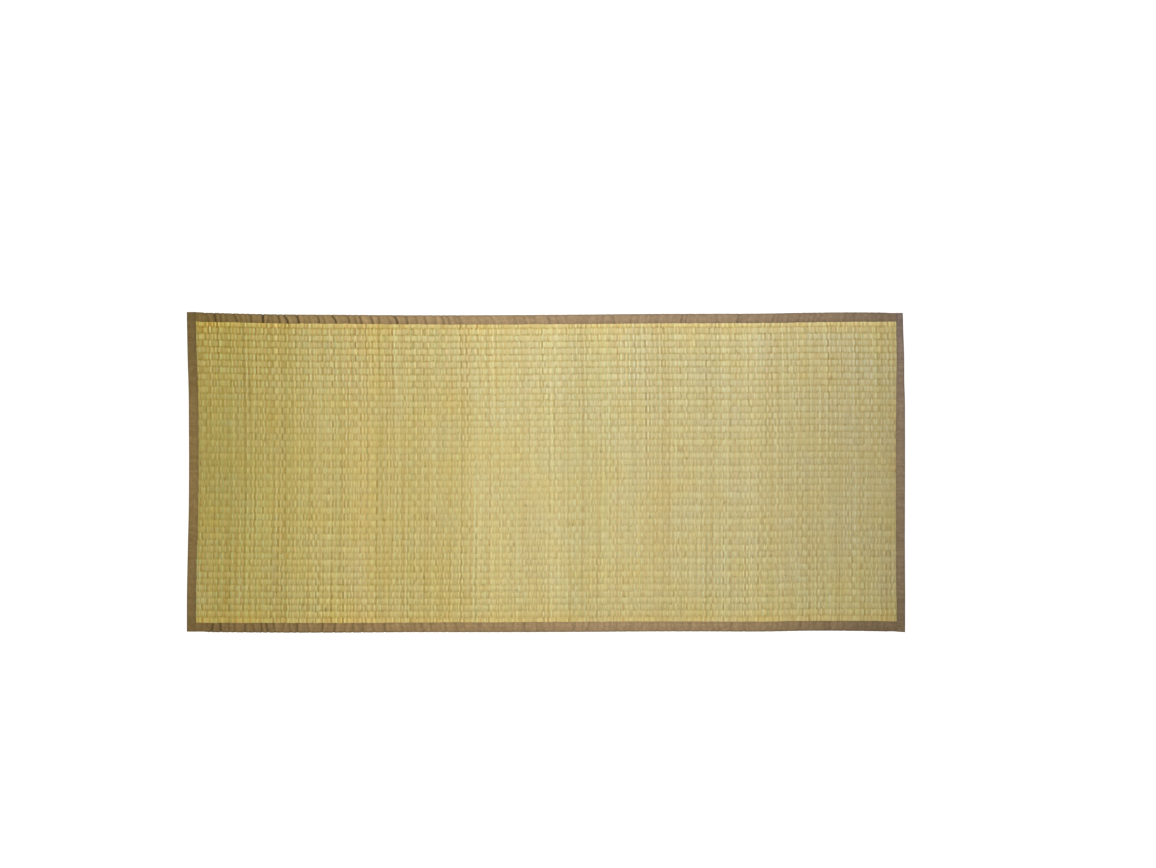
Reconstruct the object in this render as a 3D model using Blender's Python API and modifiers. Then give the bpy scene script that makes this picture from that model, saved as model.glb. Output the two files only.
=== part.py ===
"""Rush sleeping mat: 2.00 m by 0.88 m, bound on its four sides with folded cloth tape.

The mat lies flat with its underside on z = 0, its length along X and its width along Y, and the
origin is under its middle. The woven rushes are one thin slab with a raised rib for each row of
the weave. Each binding is a strip of tape folded in a U over the slab's thinned rim. The tape of
the two long sides is puckered, and the tape of the two short sides runs over the corners.

Sizes are in metres, or in millimetres where a name ends in _mm.
"""
import math
from typing import NamedTuple

import bmesh
import bpy

MM = 0.001

# The mat as a whole
HALF_LENGTH = 1.000
HALF_WIDTH = 0.440
GAP = 0.0003

# The weave: row lines lie one pitch apart, and the middle one is a little off the centre line
ROW_PITCH = 0.01837
ROW_SHIFT = 0.0016
FULL_ROWS = 44
RIB_TOP = 0.0030
ROW_LINE_TOP = 0.0021
RIB_SHOULDER = 0.27
FIELD_STATIONS = 15

# One row of the weave from its row line on: a share of the pitch, and the height there
ROW_PROFILE = (
    (0.0, ROW_LINE_TOP),
    (RIB_SHOULDER, RIB_TOP),
    (1.0 - RIB_SHOULDER, RIB_TOP),
)

# The folded tape
TAPE = 0.0010
BOUND_HEIGHT = 0.0040
FOLD_SEGMENTS = 4
LONG_STATIONS = 18
SHORT_STATIONS = 18

# The slab's rim between the tape's two leaves, and the step from the field to the rim
RIM_BOTTOM = TAPE + GAP
RIM_TOP = BOUND_HEIGHT - TAPE - GAP
RIM_START = BOUND_HEIGHT / 2
STEP_RUN = 0.0010
RIM_LINES = 3

# The puckers: each crease is a narrow fold between two swells
PUCKER_RISE = 0.0016
PUCKER_SPREAD = 0.0062
PUCKER_FOLD = 0.0018
PUCKER_STATIONS = (-0.0095, -0.0032, 0.0, 0.0032, 0.0095)
SEWN_EDGE_PUCKER = 0.4
STATION_SPACING = 0.0060

RUSH = {"colour": (0.40, 0.35, 0.16, 1.0), "roughness": 0.62}
TAPE_CLOTH = {"colour": (0.21, 0.15, 0.075, 1.0), "roughness": 0.85}
SHARP_ANGLE = math.radians(40)


class LongRow(NamedTuple):
    """A place along the mat: how far out each long fold stands, and its tape's width on top."""

    at_mm: float
    back_out_mm: float
    front_out_mm: float
    back_face_mm: float
    front_face_mm: float


LONG_ROWS = (
    LongRow(-1000, 6.5, 3.5, 24.0, 24.9),
    LongRow(-880, 2.8, 4.5, 23.8, 25.5),
    LongRow(-750, -0.1, 5.4, 24.2, 26.1),
    LongRow(-570, -1.2, 5.3, 24.0, 26.1),
    LongRow(-385, -2.5, 4.2, 24.4, 25.9),
    LongRow(-140, -2.3, 4.1, 25.0, 26.6),
    LongRow(106, -0.6, 3.3, 25.2, 27.2),
    LongRow(290, 1.1, 2.1, 25.4, 27.0),
    LongRow(470, 1.7, 2.1, 25.4, 26.7),
    LongRow(600, 2.1, 2.4, 25.2, 26.8),
    LongRow(720, 4.3, 0.3, 25.6, 26.6),
    LongRow(840, 5.5, 0.4, 25.3, 26.8),
    LongRow(965, 5.0, 3.0, 24.4, 27.8),
    LongRow(1000, 5.0, 4.9, 24.4, 28.0),
)


class ShortRow(NamedTuple):
    """A place across the mat: how far out each short fold stands, and its tape's width on top."""

    at_mm: float
    left_out_mm: float
    right_out_mm: float
    left_face_mm: float
    right_face_mm: float


SHORT_ROWS = (
    ShortRow(-445, 1.5, 1.4, 25.5, 24.0),
    ShortRow(-340, 1.3, 1.6, 25.6, 24.4),
    ShortRow(-260, -0.1, 1.2, 25.8, 25.2),
    ShortRow(-184, -1.8, 0.9, 26.4, 25.2),
    ShortRow(-105, -3.6, 1.1, 26.8, 25.4),
    ShortRow(0, -4.5, 1.3, 27.0, 25.8),
    ShortRow(130, -4.1, 1.3, 27.0, 25.9),
    ShortRow(210, -3.6, 0.8, 26.6, 24.2),
    ShortRow(250, -2.8, -0.5, 26.3, 22.6),
    ShortRow(320, -0.6, -1.0, 25.7, 21.2),
    ShortRow(400, 0.9, -3.7, 25.4, 19.8),
    ShortRow(445, 1.6, -5.0, 25.4, 19.2),
)


class Crease(NamedTuple):
    """A crease across a long binding: its place, its depth and how far its inner end leans."""

    at_mm: float
    depth: float
    lean_mm: float


BACK_CREASES = (
    Crease(-922, 1.0, 6),
    Crease(-852, 0.6, 1),
    Crease(-823, 0.6, 2),
    Crease(-789, 1.0, 3),
    Crease(-745, 0.7, 2),
    Crease(-723, 0.8, 9),
    Crease(-692, 0.9, 5),
    Crease(-636, 0.7, 8),
    Crease(-589, 0.8, 13),
    Crease(-553, 0.5, 5),
    Crease(-516, 0.7, 3),
    Crease(-465, 0.5, 3),
    Crease(-421, 0.8, 12),
    Crease(-388, 0.6, 6),
    Crease(-286, 0.4, 7),
    Crease(-238, 0.5, 9),
)

FRONT_CREASES = (
    Crease(-930, 1.0, -3),
    Crease(-905, 0.9, 0),
    Crease(-865, 0.5, 4),
    Crease(-837, 0.8, 1),
    Crease(-788, 0.8, 0),
    Crease(-694, 1.0, -5),
    Crease(-623, 0.8, -2),
    Crease(-589, 0.8, -1),
    Crease(-538, 0.6, -3),
    Crease(-511, 0.6, 1),
    Crease(-397, 0.5, 1),
    Crease(856, 0.4, -3),
    Crease(925, 0.5, 2),
    Crease(950, 0.5, 1),
)


def blend(start, end, share):
    """Go from start to end by a share."""
    return start + (end - start) * share


def read_row(rows, column, at):
    """Read a column of a table at any place, in metres, on a smooth curve through its rows."""
    places = [row.at_mm * MM for row in rows]
    values = [getattr(row, column) * MM for row in rows]
    last = len(rows) - 1
    at = min(max(at, places[0]), places[last])
    low = max(index for index in range(last) if places[index] <= at)
    span = places[low + 1] - places[low]
    share = (at - places[low]) / span

    def rise_over_span(index):
        before, after = max(index - 1, 0), min(index + 1, last)
        return (values[after] - values[before]) / (places[after] - places[before]) * span

    rise = values[low + 1] - values[low]
    first, second = rise_over_span(low), rise_over_span(low + 1)
    bend = 3 * rise - 2 * first - second
    return values[low] + share * (first + share * (bend + share * (first + second - 2 * rise)))


class Side(NamedTuple):
    """A side of the mat: its table and columns, its distance from the origin and its direction."""

    rows: tuple
    out_column: str
    face_column: str
    half_span: float
    sign: int

    def inside(self, at, depth):
        """Give the place across the side that lies a depth inwards from its outer fold."""
        return self.sign * (self.half_span + read_row(self.rows, self.out_column, at) - depth)

    def face_width(self, at):
        """Give the width of the tape on top, from the outer fold to its sewn edge."""
        return read_row(self.rows, self.face_column, at)


BACK = Side(LONG_ROWS, "back_out_mm", "back_face_mm", HALF_WIDTH, 1)
FRONT = Side(LONG_ROWS, "front_out_mm", "front_face_mm", HALF_WIDTH, -1)
LEFT = Side(SHORT_ROWS, "left_out_mm", "left_face_mm", HALF_LENGTH, -1)
RIGHT = Side(SHORT_ROWS, "right_out_mm", "right_face_mm", HALF_LENGTH, 1)


def make_material(name, finish):
    """Make a Principled material from a finish's colour and roughness."""
    material = bpy.data.materials.new(name)
    material.use_nodes = True
    shader = material.node_tree.nodes["Principled BSDF"]
    shader.inputs["Base Color"].default_value = finish["colour"]
    shader.inputs["Roughness"].default_value = finish["roughness"]
    shader.inputs["Metallic"].default_value = 0.0
    return material


def shaped_grid(columns, rows, place):
    """Make a sheet of columns by rows points, and list each point's column and row."""
    sheet = bmesh.new()
    bmesh.ops.create_grid(sheet, x_segments=columns - 1, y_segments=rows - 1, size=1.0)
    cells = {}
    for point in sheet.verts:
        column = round((point.co.x + 1) / 2 * (columns - 1))
        row = round((point.co.y + 1) / 2 * (rows - 1))
        cells[point] = (column, row)
        point.co = place(column, row)
    return sheet, cells


def shade_smooth(sheet):
    """Shade a sheet smooth, but for its free edges and its corners."""
    for face in sheet.faces:
        face.smooth = True
    for edge in sheet.edges:
        edge.smooth = not edge.is_boundary and edge.calc_face_angle() < SHARP_ANGLE


def make_object(name, sheet, finish, collection):
    """Turn a sheet into a named object with its own material."""
    shade_smooth(sheet)
    mesh = bpy.data.meshes.new(name)
    sheet.to_mesh(mesh)
    sheet.free()
    mesh.materials.append(make_material(name, finish))
    piece = bpy.data.objects.new(name, mesh)
    collection.objects.link(piece)
    return piece


def rim_inside(side, at, order):
    """Give the place of one of the slab's outer lines: its edge, the step's foot or its head."""
    step_foot = side.face_width(at) + GAP
    depth = (RIM_START, step_foot, step_foot + STEP_RUN)[order]
    return side.inside(at, depth)


def slab_x(column, columns, y):
    """Give the x of a column of the slab's points, which bends with the short sides."""
    from_end = columns - 1 - column
    if column < RIM_LINES:
        return rim_inside(LEFT, y, column)
    if from_end < RIM_LINES:
        return rim_inside(RIGHT, y, from_end)
    share = (column - RIM_LINES + 1) / (FIELD_STATIONS + 1)
    return blend(rim_inside(LEFT, y, RIM_LINES - 1), rim_inside(RIGHT, y, RIM_LINES - 1), share)


def slab_y(row, rows, x):
    """Give the y of a row of the slab's points: straight in the weave, bent along the rims."""
    from_end = rows - 1 - row
    if row < RIM_LINES:
        return rim_inside(FRONT, x, row)
    if from_end < RIM_LINES:
        return rim_inside(BACK, x, from_end)
    full_row, order = divmod(row - RIM_LINES, len(ROW_PROFILE))
    share = ROW_PROFILE[order][0]
    return ROW_SHIFT + (full_row + share - FULL_ROWS / 2) * ROW_PITCH


def make_rush_field(collection):
    """Make the woven slab, ribbed on top, with a rim thinned to enter the folded tape."""
    columns = FIELD_STATIONS + 2 * RIM_LINES
    rows = len(ROW_PROFILE) * FULL_ROWS + 1 + 2 * RIM_LINES

    def in_rim(column, row):
        return min(column, columns - 1 - column, row, rows - 1 - row) < RIM_LINES - 1

    def height(column, row):
        if in_rim(column, row):
            return RIM_TOP
        if min(row, rows - 1 - row) < RIM_LINES:
            return RIB_TOP
        return ROW_PROFILE[(row - RIM_LINES) % len(ROW_PROFILE)][1]

    def place(column, row):
        near_x = blend(-HALF_LENGTH, HALF_LENGTH, column / (columns - 1))
        x = slab_x(column, columns, slab_y(row, rows, near_x))
        return x, slab_y(row, rows, x), height(column, row)

    slab, cells = shaped_grid(columns, rows, place)
    bmesh.ops.extrude_face_region(slab, geom=slab.faces[:])
    for point, (column, row) in cells.items():
        point.co.z = RIM_BOTTOM if in_rim(column, row) else 0.0
    bmesh.ops.recalc_face_normals(slab, faces=slab.faces[:])
    underside = [face for face in slab.faces if all(point in cells for point in face.verts)]
    flat = [face for face in underside if max(point.co.z for point in face.verts) == 0.0]
    bmesh.ops.dissolve_faces(slab, faces=flat, use_verts=False)
    return make_object("rush_field", slab, RUSH, collection)


class SectionPoint(NamedTuple):
    """A point of the folded tape's middle line.

    depth runs inwards from the fold. pucker is the share of a pucker's height that reaches the
    point, and across is its share of the top leaf, from the fold to the sewn edge.
    """

    depth: float
    height: float
    pucker: float
    across: float


def fold_section(face_width):
    """List the tape's middle line from its edge underneath, round the fold, to its sewn edge."""
    low, high = TAPE / 2, BOUND_HEIGHT - TAPE / 2
    radius = (high - low) / 2
    centre = low + radius
    section = [SectionPoint(face_width, low, 0.0, 0.0)]
    for step in range(FOLD_SEGMENTS + 1):
        turn = math.pi * step / FOLD_SEGMENTS
        depth = centre - radius * math.sin(turn)
        section.append(SectionPoint(depth, centre - radius * math.cos(turn), step / FOLD_SEGMENTS, 0.0))
    section.append(SectionPoint(blend(centre, face_width, 0.5), high, 1.0, 0.5))
    section.append(SectionPoint(face_width, high, SEWN_EDGE_PUCKER, 1.0))
    return section


def pucker_height(creases, at):
    """Give how high the tape stands at a place along it: two swells with a fold between them."""
    height = 0.0
    for crease in creases:
        away = at - crease.at_mm * MM
        swell = math.exp(-((away / PUCKER_SPREAD) ** 2)) - math.exp(-((away / PUCKER_FOLD) ** 2))
        height += crease.depth * PUCKER_RISE * swell
    return height


def lean_at(creases, at, first, last):
    """Give how far the creases lean at a place, easing between them and to nothing at the ends."""
    leans = [(crease.at_mm * MM, crease.lean_mm * MM) for crease in creases]
    leans = [(first, 0.0), *leans, (last, 0.0)]
    for (start, start_lean), (end, end_lean) in zip(leans, leans[1:]):
        if start <= at <= end:
            return blend(start_lean, end_lean, (at - start) / (end - start))
    return 0.0


def stations_along(start, end, count, creases):
    """List the places along a binding: even ones, and those of each crease and its swells."""
    places = [crease.at_mm * MM + offset for crease in creases for offset in PUCKER_STATIONS]
    even = [blend(start, end, step / count) for step in range(1, count)]
    places += [at for at in even if all(abs(at - place) > STATION_SPACING for place in places)]
    return sorted([start, end, *places])


def make_binding(name, side, run_start, run_end, stations, creases, collection):
    """Fold a strip of tape over one side of the slab.

    run_start and run_end give the strip's two ends, which follow what they meet there.
    """
    middle = side.inside(0.0, 0.0)
    first, last = run_start(middle), run_end(middle)
    places = stations_along(first, last, stations, creases)
    along_x = side in (BACK, FRONT)
    section_points = len(fold_section(side.face_width(0.0)))

    def place(column, row):
        at = places[column]
        point = fold_section(side.face_width(at))[row]
        near = side.inside(at, point.depth)
        run = blend(run_start(near), run_end(near), (at - first) / (last - first))
        run += lean_at(creases, at, first, last) * (point.across - 0.5)
        across = side.inside(run, point.depth)
        z = point.height + pucker_height(creases, at) * point.pucker
        return (run, across, z) if along_x else (across, run, z)

    strip, _ = shaped_grid(len(places), section_points, place)
    binding = make_object(name, strip, TAPE_CLOTH, collection)
    thickness = binding.modifiers.new("tape thickness", "SOLIDIFY")
    thickness.thickness = TAPE
    thickness.offset = 0.0
    thickness.use_even_offset = True
    return binding


def sewn_end(side):
    """Give the function of where a long binding stops, just short of a short binding's tape."""
    return lambda across: side.inside(across, side.face_width(across) + GAP)


def cut_end(side):
    """Give the function of where a short binding stops, level with a long binding's fold."""
    return lambda across: side.inside(across, 0.0)


def main():
    """Build the woven field and its four bindings."""
    for old in list(bpy.data.objects):
        bpy.data.objects.remove(old, do_unlink=True)
    mat = bpy.data.collections.new("rush_sleeping_mat")
    bpy.context.scene.collection.children.link(mat)
    make_rush_field(mat)
    long_ends = (sewn_end(LEFT), sewn_end(RIGHT))
    short_ends = (cut_end(FRONT), cut_end(BACK))
    make_binding("back_binding", BACK, *long_ends, LONG_STATIONS, BACK_CREASES, mat)
    make_binding("front_binding", FRONT, *long_ends, LONG_STATIONS, FRONT_CREASES, mat)
    make_binding("left_binding", LEFT, *short_ends, SHORT_STATIONS, (), mat)
    make_binding("right_binding", RIGHT, *short_ends, SHORT_STATIONS, (), mat)


main()
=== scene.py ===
"""The looks of a rush sleeping mat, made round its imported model.

The woven field is made of single flattened stalks that pass over one row and under the next, with
the warp threads under their crests. The bindings are strips of brown cotton tape, folded over the
mat's rim, puckered on the long sides and sewn down along their inner edges.

Lengths are in metres, or in millimetres where a name ends in _mm. The mat lies on z = 0, with its
length along X.
"""
import logging
import math
from dataclasses import dataclass, field
from enum import Enum
from typing import Iterator, NamedTuple, Sequence

import bpy
import numpy as np
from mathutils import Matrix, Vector


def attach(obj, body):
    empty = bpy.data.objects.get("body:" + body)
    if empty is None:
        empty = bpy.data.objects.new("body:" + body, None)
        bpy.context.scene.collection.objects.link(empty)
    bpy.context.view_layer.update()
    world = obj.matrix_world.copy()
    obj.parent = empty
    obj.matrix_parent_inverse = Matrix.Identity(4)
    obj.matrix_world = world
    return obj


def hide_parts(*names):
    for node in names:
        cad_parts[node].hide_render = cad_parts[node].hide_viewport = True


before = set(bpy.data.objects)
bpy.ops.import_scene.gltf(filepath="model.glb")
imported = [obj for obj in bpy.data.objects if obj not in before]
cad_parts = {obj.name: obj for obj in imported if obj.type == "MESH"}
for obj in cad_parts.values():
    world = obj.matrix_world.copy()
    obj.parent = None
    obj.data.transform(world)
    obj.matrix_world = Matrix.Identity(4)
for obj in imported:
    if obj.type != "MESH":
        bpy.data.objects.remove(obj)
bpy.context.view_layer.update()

LOG = logging.getLogger("rush_mat")
MM = 0.001
BODY = "root"

# The photograph's frame, and where the mat lies in it
PHOTO_WIDTH_PX = 1156
PHOTO_HEIGHT_PX = 868
PIXELS_PER_METRE = 358.5
MAT_CENTRE_PX = (546.0, 472.5)

# The weave
HALF_LENGTH = 1.000
HALF_WIDTH = 0.440
ROW_PITCH = 0.01837
ROW_SHIFT = -0.0005

Colour = tuple[float, float, float]
Triple = tuple[float, float, float]
Span = tuple[float, float]


def table(kind: type, *rows: tuple) -> tuple:
    """Make a table, every row of one kind."""
    return tuple(kind(*row) for row in rows)


class LongRow(NamedTuple):
    """A place along the mat: how far out each long fold stands, and its tape's width on top."""

    at_mm: float
    back_out_mm: float
    front_out_mm: float
    back_face_mm: float
    front_face_mm: float


LONG_ROWS = table(
    LongRow,
    (-1000, 7.2, 3.5, 24.6, 24.9),
    (-968, 6.9, 3.8, 26.0, 25.0),
    (-952, 4.6, 3.9, 24.4, 25.1),
    (-920, 4.0, 4.2, 24.5, 25.2),
    (-880, 2.8, 4.5, 23.8, 25.5),
    (-750, -0.1, 5.4, 24.2, 26.1),
    (-570, -1.2, 5.3, 24.0, 26.1),
    (-385, -2.5, 4.2, 24.4, 25.9),
    (-140, -2.3, 4.1, 25.0, 26.6),
    (106, -0.6, 3.3, 25.2, 27.2),
    (290, 1.1, 2.1, 25.4, 27.0),
    (470, 1.7, 2.1, 25.4, 26.7),
    (600, 2.1, 2.4, 25.2, 26.8),
    (720, 4.3, 0.3, 25.6, 26.6),
    (840, 5.5, 0.4, 25.3, 26.8),
    (965, 5.0, 3.0, 24.4, 27.8),
    (1000, 5.0, 4.9, 24.4, 28.0),
)


class ShortRow(NamedTuple):
    """A place across the mat: how far out each short fold stands, and its tape's width on top."""

    at_mm: float
    left_out_mm: float
    right_out_mm: float
    left_face_mm: float
    right_face_mm: float


SHORT_ROWS = table(
    ShortRow,
    (-445, 1.5, 1.4, 25.5, 24.0),
    (-340, 1.3, 1.6, 25.6, 24.4),
    (-260, -0.1, 1.2, 25.8, 25.2),
    (-184, -1.8, 0.9, 26.4, 25.2),
    (-105, -3.6, 1.1, 26.8, 25.4),
    (0, -4.5, 1.3, 27.0, 25.8),
    (130, -4.1, 1.3, 27.0, 25.9),
    (210, -3.6, 0.8, 26.6, 24.2),
    (250, -2.8, -0.5, 26.3, 22.6),
    (320, -0.6, -1.0, 25.7, 21.2),
    (400, 0.9, -3.7, 25.4, 19.8),
    (445, 1.6, -5.0, 25.4, 19.2),
)


class Crease(NamedTuple):
    """A crease across a long binding: its place, its depth and how far its inner end leans."""

    at_mm: float
    depth: float
    lean_mm: float


BACK_CREASES = table(
    Crease,
    (-946, 0.6, 10), (-923, 1.0, 6), (-907, 0.8, 1), (-892, 0.5, 4), (-868, 0.7, 15),
    (-852, 0.65, 2), (-836, 0.35, 3), (-823, 0.65, 2), (-805, 0.4, 2), (-789, 1.35, 1),
    (-774, 0.4, -3), (-765, 0.35, 4), (-745, 0.85, 6), (-726, 0.95, 14), (-692, 1.0, 6),
    (-676, 0.2, 6), (-661, 0.45, 8), (-635, 0.8, 6), (-621, 0.5, 8), (-592, 0.9, 15),
    (-573, 0.35, 6), (-551, 0.85, 6), (-534, 0.5, 9), (-518, 0.9, 6), (-488, 0.8, 11),
    (-466, 0.7, 4), (-455, 0.25, 6), (-440, 0.4, 11), (-419, 0.95, 10), (-389, 0.7, 6),
    (-377, 0.2, 4), (-362, 0.45, 3), (-338, 0.55, 6), (-309, 0.4, 8), (-289, 0.5, 8),
    (-273, 0.4, 9), (-242, 0.5, 8), (-220, 0.25, 8), (-190, 0.3, 11), (-172, 0.2, 10),
    (-150, 0.4, 11), (-127, 0.3, 10), (-89, 0.35, 12), (-60, 0.35, 8), (-32, 0.25, 4), (6, 0.5, 8),
    (43, 0.3, 8), (56, 0.35, 2), (86, 0.25, -3), (117, 0.25, -6), (161, 0.3, -6), (186, 0.4, 8),
    (236, 0.25, -4), (257, 0.25, -4), (293, 0.3, -6), (314, 0.25, -6), (380, 0.35, -8),
    (392, 0.25, -6), (413, 0.4, -9), (449, 0.35, 4), (494, 0.2, -4), (513, 0.3, -8),
    (537, 0.45, -8), (563, 0.25, -8), (580, 0.25, -6), (635, 0.3, -6), (648, 0.25, -6),
    (674, 0.25, -5), (706, 0.3, -8), (765, 0.35, -12), (819, 0.2, -4), (845, 0.25, -2),
    (870, 0.2, 0), (902, 0.25, 2), (921, 0.25, 2), (938, 0.3, 2),
)

FRONT_CREASES = table(
    Crease,
    (-931, 1.0, 6), (-907, 0.85, -2), (-883, 0.45, -4), (-868, 0.4, -4), (-839, 0.75, 2),
    (-815, 0.45, -6), (-792, 0.85, -2), (-777, 0.75, -6), (-757, 0.6, -6), (-733, 0.5, 8),
    (-713, 0.55, -7), (-693, 0.8, 0), (-662, 0.6, -8), (-624, 0.8, 4), (-590, 0.75, 4),
    (-561, 0.55, 4), (-539, 0.65, 2), (-511, 0.65, 4), (-481, 0.5, -6), (-450, 0.6, 0),
    (-421, 0.2, -6), (-399, 0.45, -11), (-364, 0.4, -4), (-343, 0.35, -10), (-320, 0.35, -4),
    (-295, 0.35, 0), (-279, 0.4, -6), (-246, 0.25, -9), (-225, 0.3, -10), (-201, 0.25, -4),
    (-147, 0.3, 4), (-122, 0.3, 8), (-90, 0.25, 2), (-61, 0.25, 0), (-14, 0.4, -6), (10, 0.4, 2),
    (78, 0.3, 4), (116, 0.25, 8), (162, 0.25, 4), (197, 0.35, -6), (233, 0.35, 2), (265, 0.2, 4),
    (312, 0.3, 0), (350, 0.3, -4), (383, 0.35, -4), (403, 0.25, 4), (434, 0.3, 2), (454, 0.3, -4),
    (482, 0.35, -8), (514, 0.35, 4), (551, 0.4, -2), (616, 0.3, 2), (644, 0.2, 3), (675, 0.35, -2),
    (709, 0.4, 6), (732, 0.25, 2), (748, 0.25, 2), (794, 0.3, -4), (812, 0.25, 2), (831, 0.35, 0),
    (857, 0.25, 3), (880, 0.3, -6), (910, 0.2, 0), (922, 0.25, -4), (942, 0.25, 4),
)


class RowBend(NamedTuple):
    """How far towards the back the rows lie at a place along the mat, at four places across it."""

    at_mm: float
    front_mm: float
    fore_mm: float
    aft_mm: float
    back_mm: float


ROW_BENDS = table(
    RowBend,
    (-950, 1.5, -2.5, 1.5, 3.5),
    (-700, 0.0, -5.0, -1.5, -1.5),
    (-450, 0.0, -5.0, -2.0, -2.5),
    (-200, -0.5, -4.5, -2.0, -2.5),
    (50, 1.0, -2.0, 0.5, -1.0),
    (300, 3.0, 1.0, 2.5, 1.0),
    (550, 3.0, 1.0, 2.5, 1.5),
    (750, 6.5, 4.5, 5.0, 4.0),
    (950, 6.5, 3.5, 4.5, 4.0),
)
BENDS_AT_Y = {"front_mm": -0.40, "fore_mm": -0.14, "aft_mm": 0.13, "back_mm": 0.40}


class LineShadeStrength(NamedTuple):
    """How strongly the row lines' painted shade shows at a place across the mat: at its left, middle and
    right.
    """

    at_y: float
    left: float
    middle: float
    right: float


LINE_SHADE_STRENGTHS = table(
    LineShadeStrength,
    (-0.39, 0.50, 0.20, 0.42),
    (-0.30, 0.42, 0.16, 0.20),
    (-0.19, 0.26, 0.08, 0.19),
    (-0.08, 0.18, 0.10, 0.24),
    (0.03, 0.23, 0.23, 0.38),
    (0.14, 0.28, 0.36, 0.47),
    (0.25, 0.57, 0.57, 0.54),
    (0.36, 0.88, 0.81, 0.70),
)


class Shade(Enum):
    """How a bundle of stalks differs from the mean colour, as natural logarithms."""

    PLAIN = (0.0, 0.0, 0.0)
    PALE = (0.03, 0.04, 0.07)
    DARK = (-0.03, -0.03, -0.05)
    TAN = (-0.02, -0.04, -0.07)
    GREEN = (-0.01, 0.01, 0.02)
    WARM = (0.04, 0.02, 0.04)


class Bundle(NamedTuple):
    """Neighbouring stalks of one harvest: where they start along the mat, and their shade."""

    from_mm: float
    shade: Shade
    share: float = 1.0


BUNDLES = table(
    Bundle,
    (-1000, Shade.PALE), (-930, Shade.DARK), (-835, Shade.GREEN), (-775, Shade.DARK),
    (-705, Shade.PLAIN), (-650, Shade.PALE), (-537, Shade.WARM), (-484, Shade.TAN),
    (-425, Shade.PLAIN), (-384, Shade.DARK), (-238, Shade.TAN), (-202, Shade.PALE),
    (-77, Shade.PLAIN), (-15, Shade.PALE), (43, Shade.DARK), (152, Shade.PLAIN), (294, Shade.TAN),
    (350, Shade.PLAIN), (403, Shade.DARK, 0.5), (470, Shade.PALE, 0.5), (512, Shade.DARK, 0.5),
    (551, Shade.PALE), (601, Shade.PLAIN), (674, Shade.PALE, 0.5), (704, Shade.PLAIN),
    (933, Shade.DARK),
)


class ToneAndLightPatch(NamedTuple):
    """A broad soft patch of the field whose colour shifts, partly painted light and shade."""

    middle: Span
    reach: Span
    shift: Colour


# Broad patches of colour, partly painted light and shade, such as the darker patch at the left end
TONE_AND_LIGHT_PATCHES = table(
    ToneAndLightPatch,
    ((-0.97, 0.42), (0.30, 0.16), (0.04, 0.0, -0.17)),
    ((-1.00, -0.03), (0.16, 0.26), (-0.125, -0.08, -0.13)),
    ((-0.90, -0.36), (0.32, 0.18), (-0.02, 0.0, 0.09)),
    ((-0.65, -0.28), (0.25, 0.12), (0.01, 0.02, 0.06)),
    ((0.05, -0.42), (0.35, 0.06), (-0.04, -0.035, -0.05)),
    ((0.60, -0.44), (0.50, 0.12), (0.0, 0.0, -0.05)),
    ((0.75, -0.36), (0.25, 0.10), (0.03, 0.035, 0.0)),
    ((0.25, 0.30), (0.40, 0.14), (-0.02, 0.0, 0.03)),
    ((0.25, 0.40), (0.60, 0.05), (0.01, 0.0, -0.05)),
    ((0.15, 0.0), (0.18, 0.30), (-0.02, 0.0, 0.015)),
    ((1.00, 0.10), (0.14, 0.35), (0.005, -0.015, 0.035)),
)


@dataclass(frozen=True)
class SmoothColumn:
    """One column of a table, read anywhere on a smooth curve through its rows."""

    rows: Sequence[NamedTuple]
    column: str

    def at(self, place: np.ndarray | float) -> np.ndarray:
        """Read the column.

        Args:
            place: Where along the table's places, in metres.

        Returns:
            The column's value there, in metres.
        """
        places = np.array([row.at_mm for row in self.rows]) * MM
        values = np.array([getattr(row, self.column) for row in self.rows]) * MM
        slopes = np.gradient(values, places)
        place = np.clip(place, places[0], places[-1])
        low = np.clip(np.searchsorted(places, place, side="right") - 1, 0, len(places) - 2)
        span = places[low + 1] - places[low]
        share = (place - places[low]) / span
        rise = values[low + 1] - values[low]
        first, second = slopes[low] * span, slopes[low + 1] * span
        bend = 3 * rise - 2 * first - second
        return values[low] + share * (first + share * (bend + share * (first + second - 2 * rise)))


@dataclass(frozen=True)
class Side:
    """One side of the mat, as a fold line and the width of the tape on it."""

    name: str
    out: SmoothColumn
    face: SmoothColumn
    half_span: float
    sign: int
    along_x: bool

    @classmethod
    def named(cls, name: str, sign: int) -> "Side":
        """Make a side from the table that holds its columns.

        Args:
            name: The side's name, as its columns have it.
            sign: 1 for the back and the right side, -1 for the front and the left one.

        Returns:
            The side.
        """
        along_x = name in ("back", "front")
        rows = LONG_ROWS if along_x else SHORT_ROWS
        out, face = SmoothColumn(rows, f"{name}_out_mm"), SmoothColumn(rows, f"{name}_face_mm")
        return cls(name, out, face, HALF_WIDTH if along_x else HALF_LENGTH, sign, along_x)

    def inside(self, at: np.ndarray | float, depth: np.ndarray | float) -> np.ndarray:
        """Give the y of a long side, or the x of a short one, at a depth inwards from its fold."""
        return self.sign * (self.half_span + self.out.at(at) - depth)

    def depth_of(self, at: np.ndarray, across: np.ndarray) -> np.ndarray:
        """Give how far inwards from the fold a place lies, given the place across the side."""
        return self.half_span + self.out.at(at) - self.sign * across


BACK = Side.named("back", 1)
FRONT = Side.named("front", -1)
LEFT = Side.named("left", -1)
RIGHT = Side.named("right", 1)


def along_mat(y: np.ndarray, share: np.ndarray, depth: float) -> np.ndarray:
    """Give the x that shares out the mat's length at y, from one depth inside its ends to the other."""
    start, end = LEFT.inside(y, depth), RIGHT.inside(y, depth)
    return start + (end - start) * share


def row_y(row: np.ndarray) -> np.ndarray:
    """Give the y of places counted in rows from the middle row line, before the rows are bent."""
    return row * ROW_PITCH + ROW_SHIFT


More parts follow.
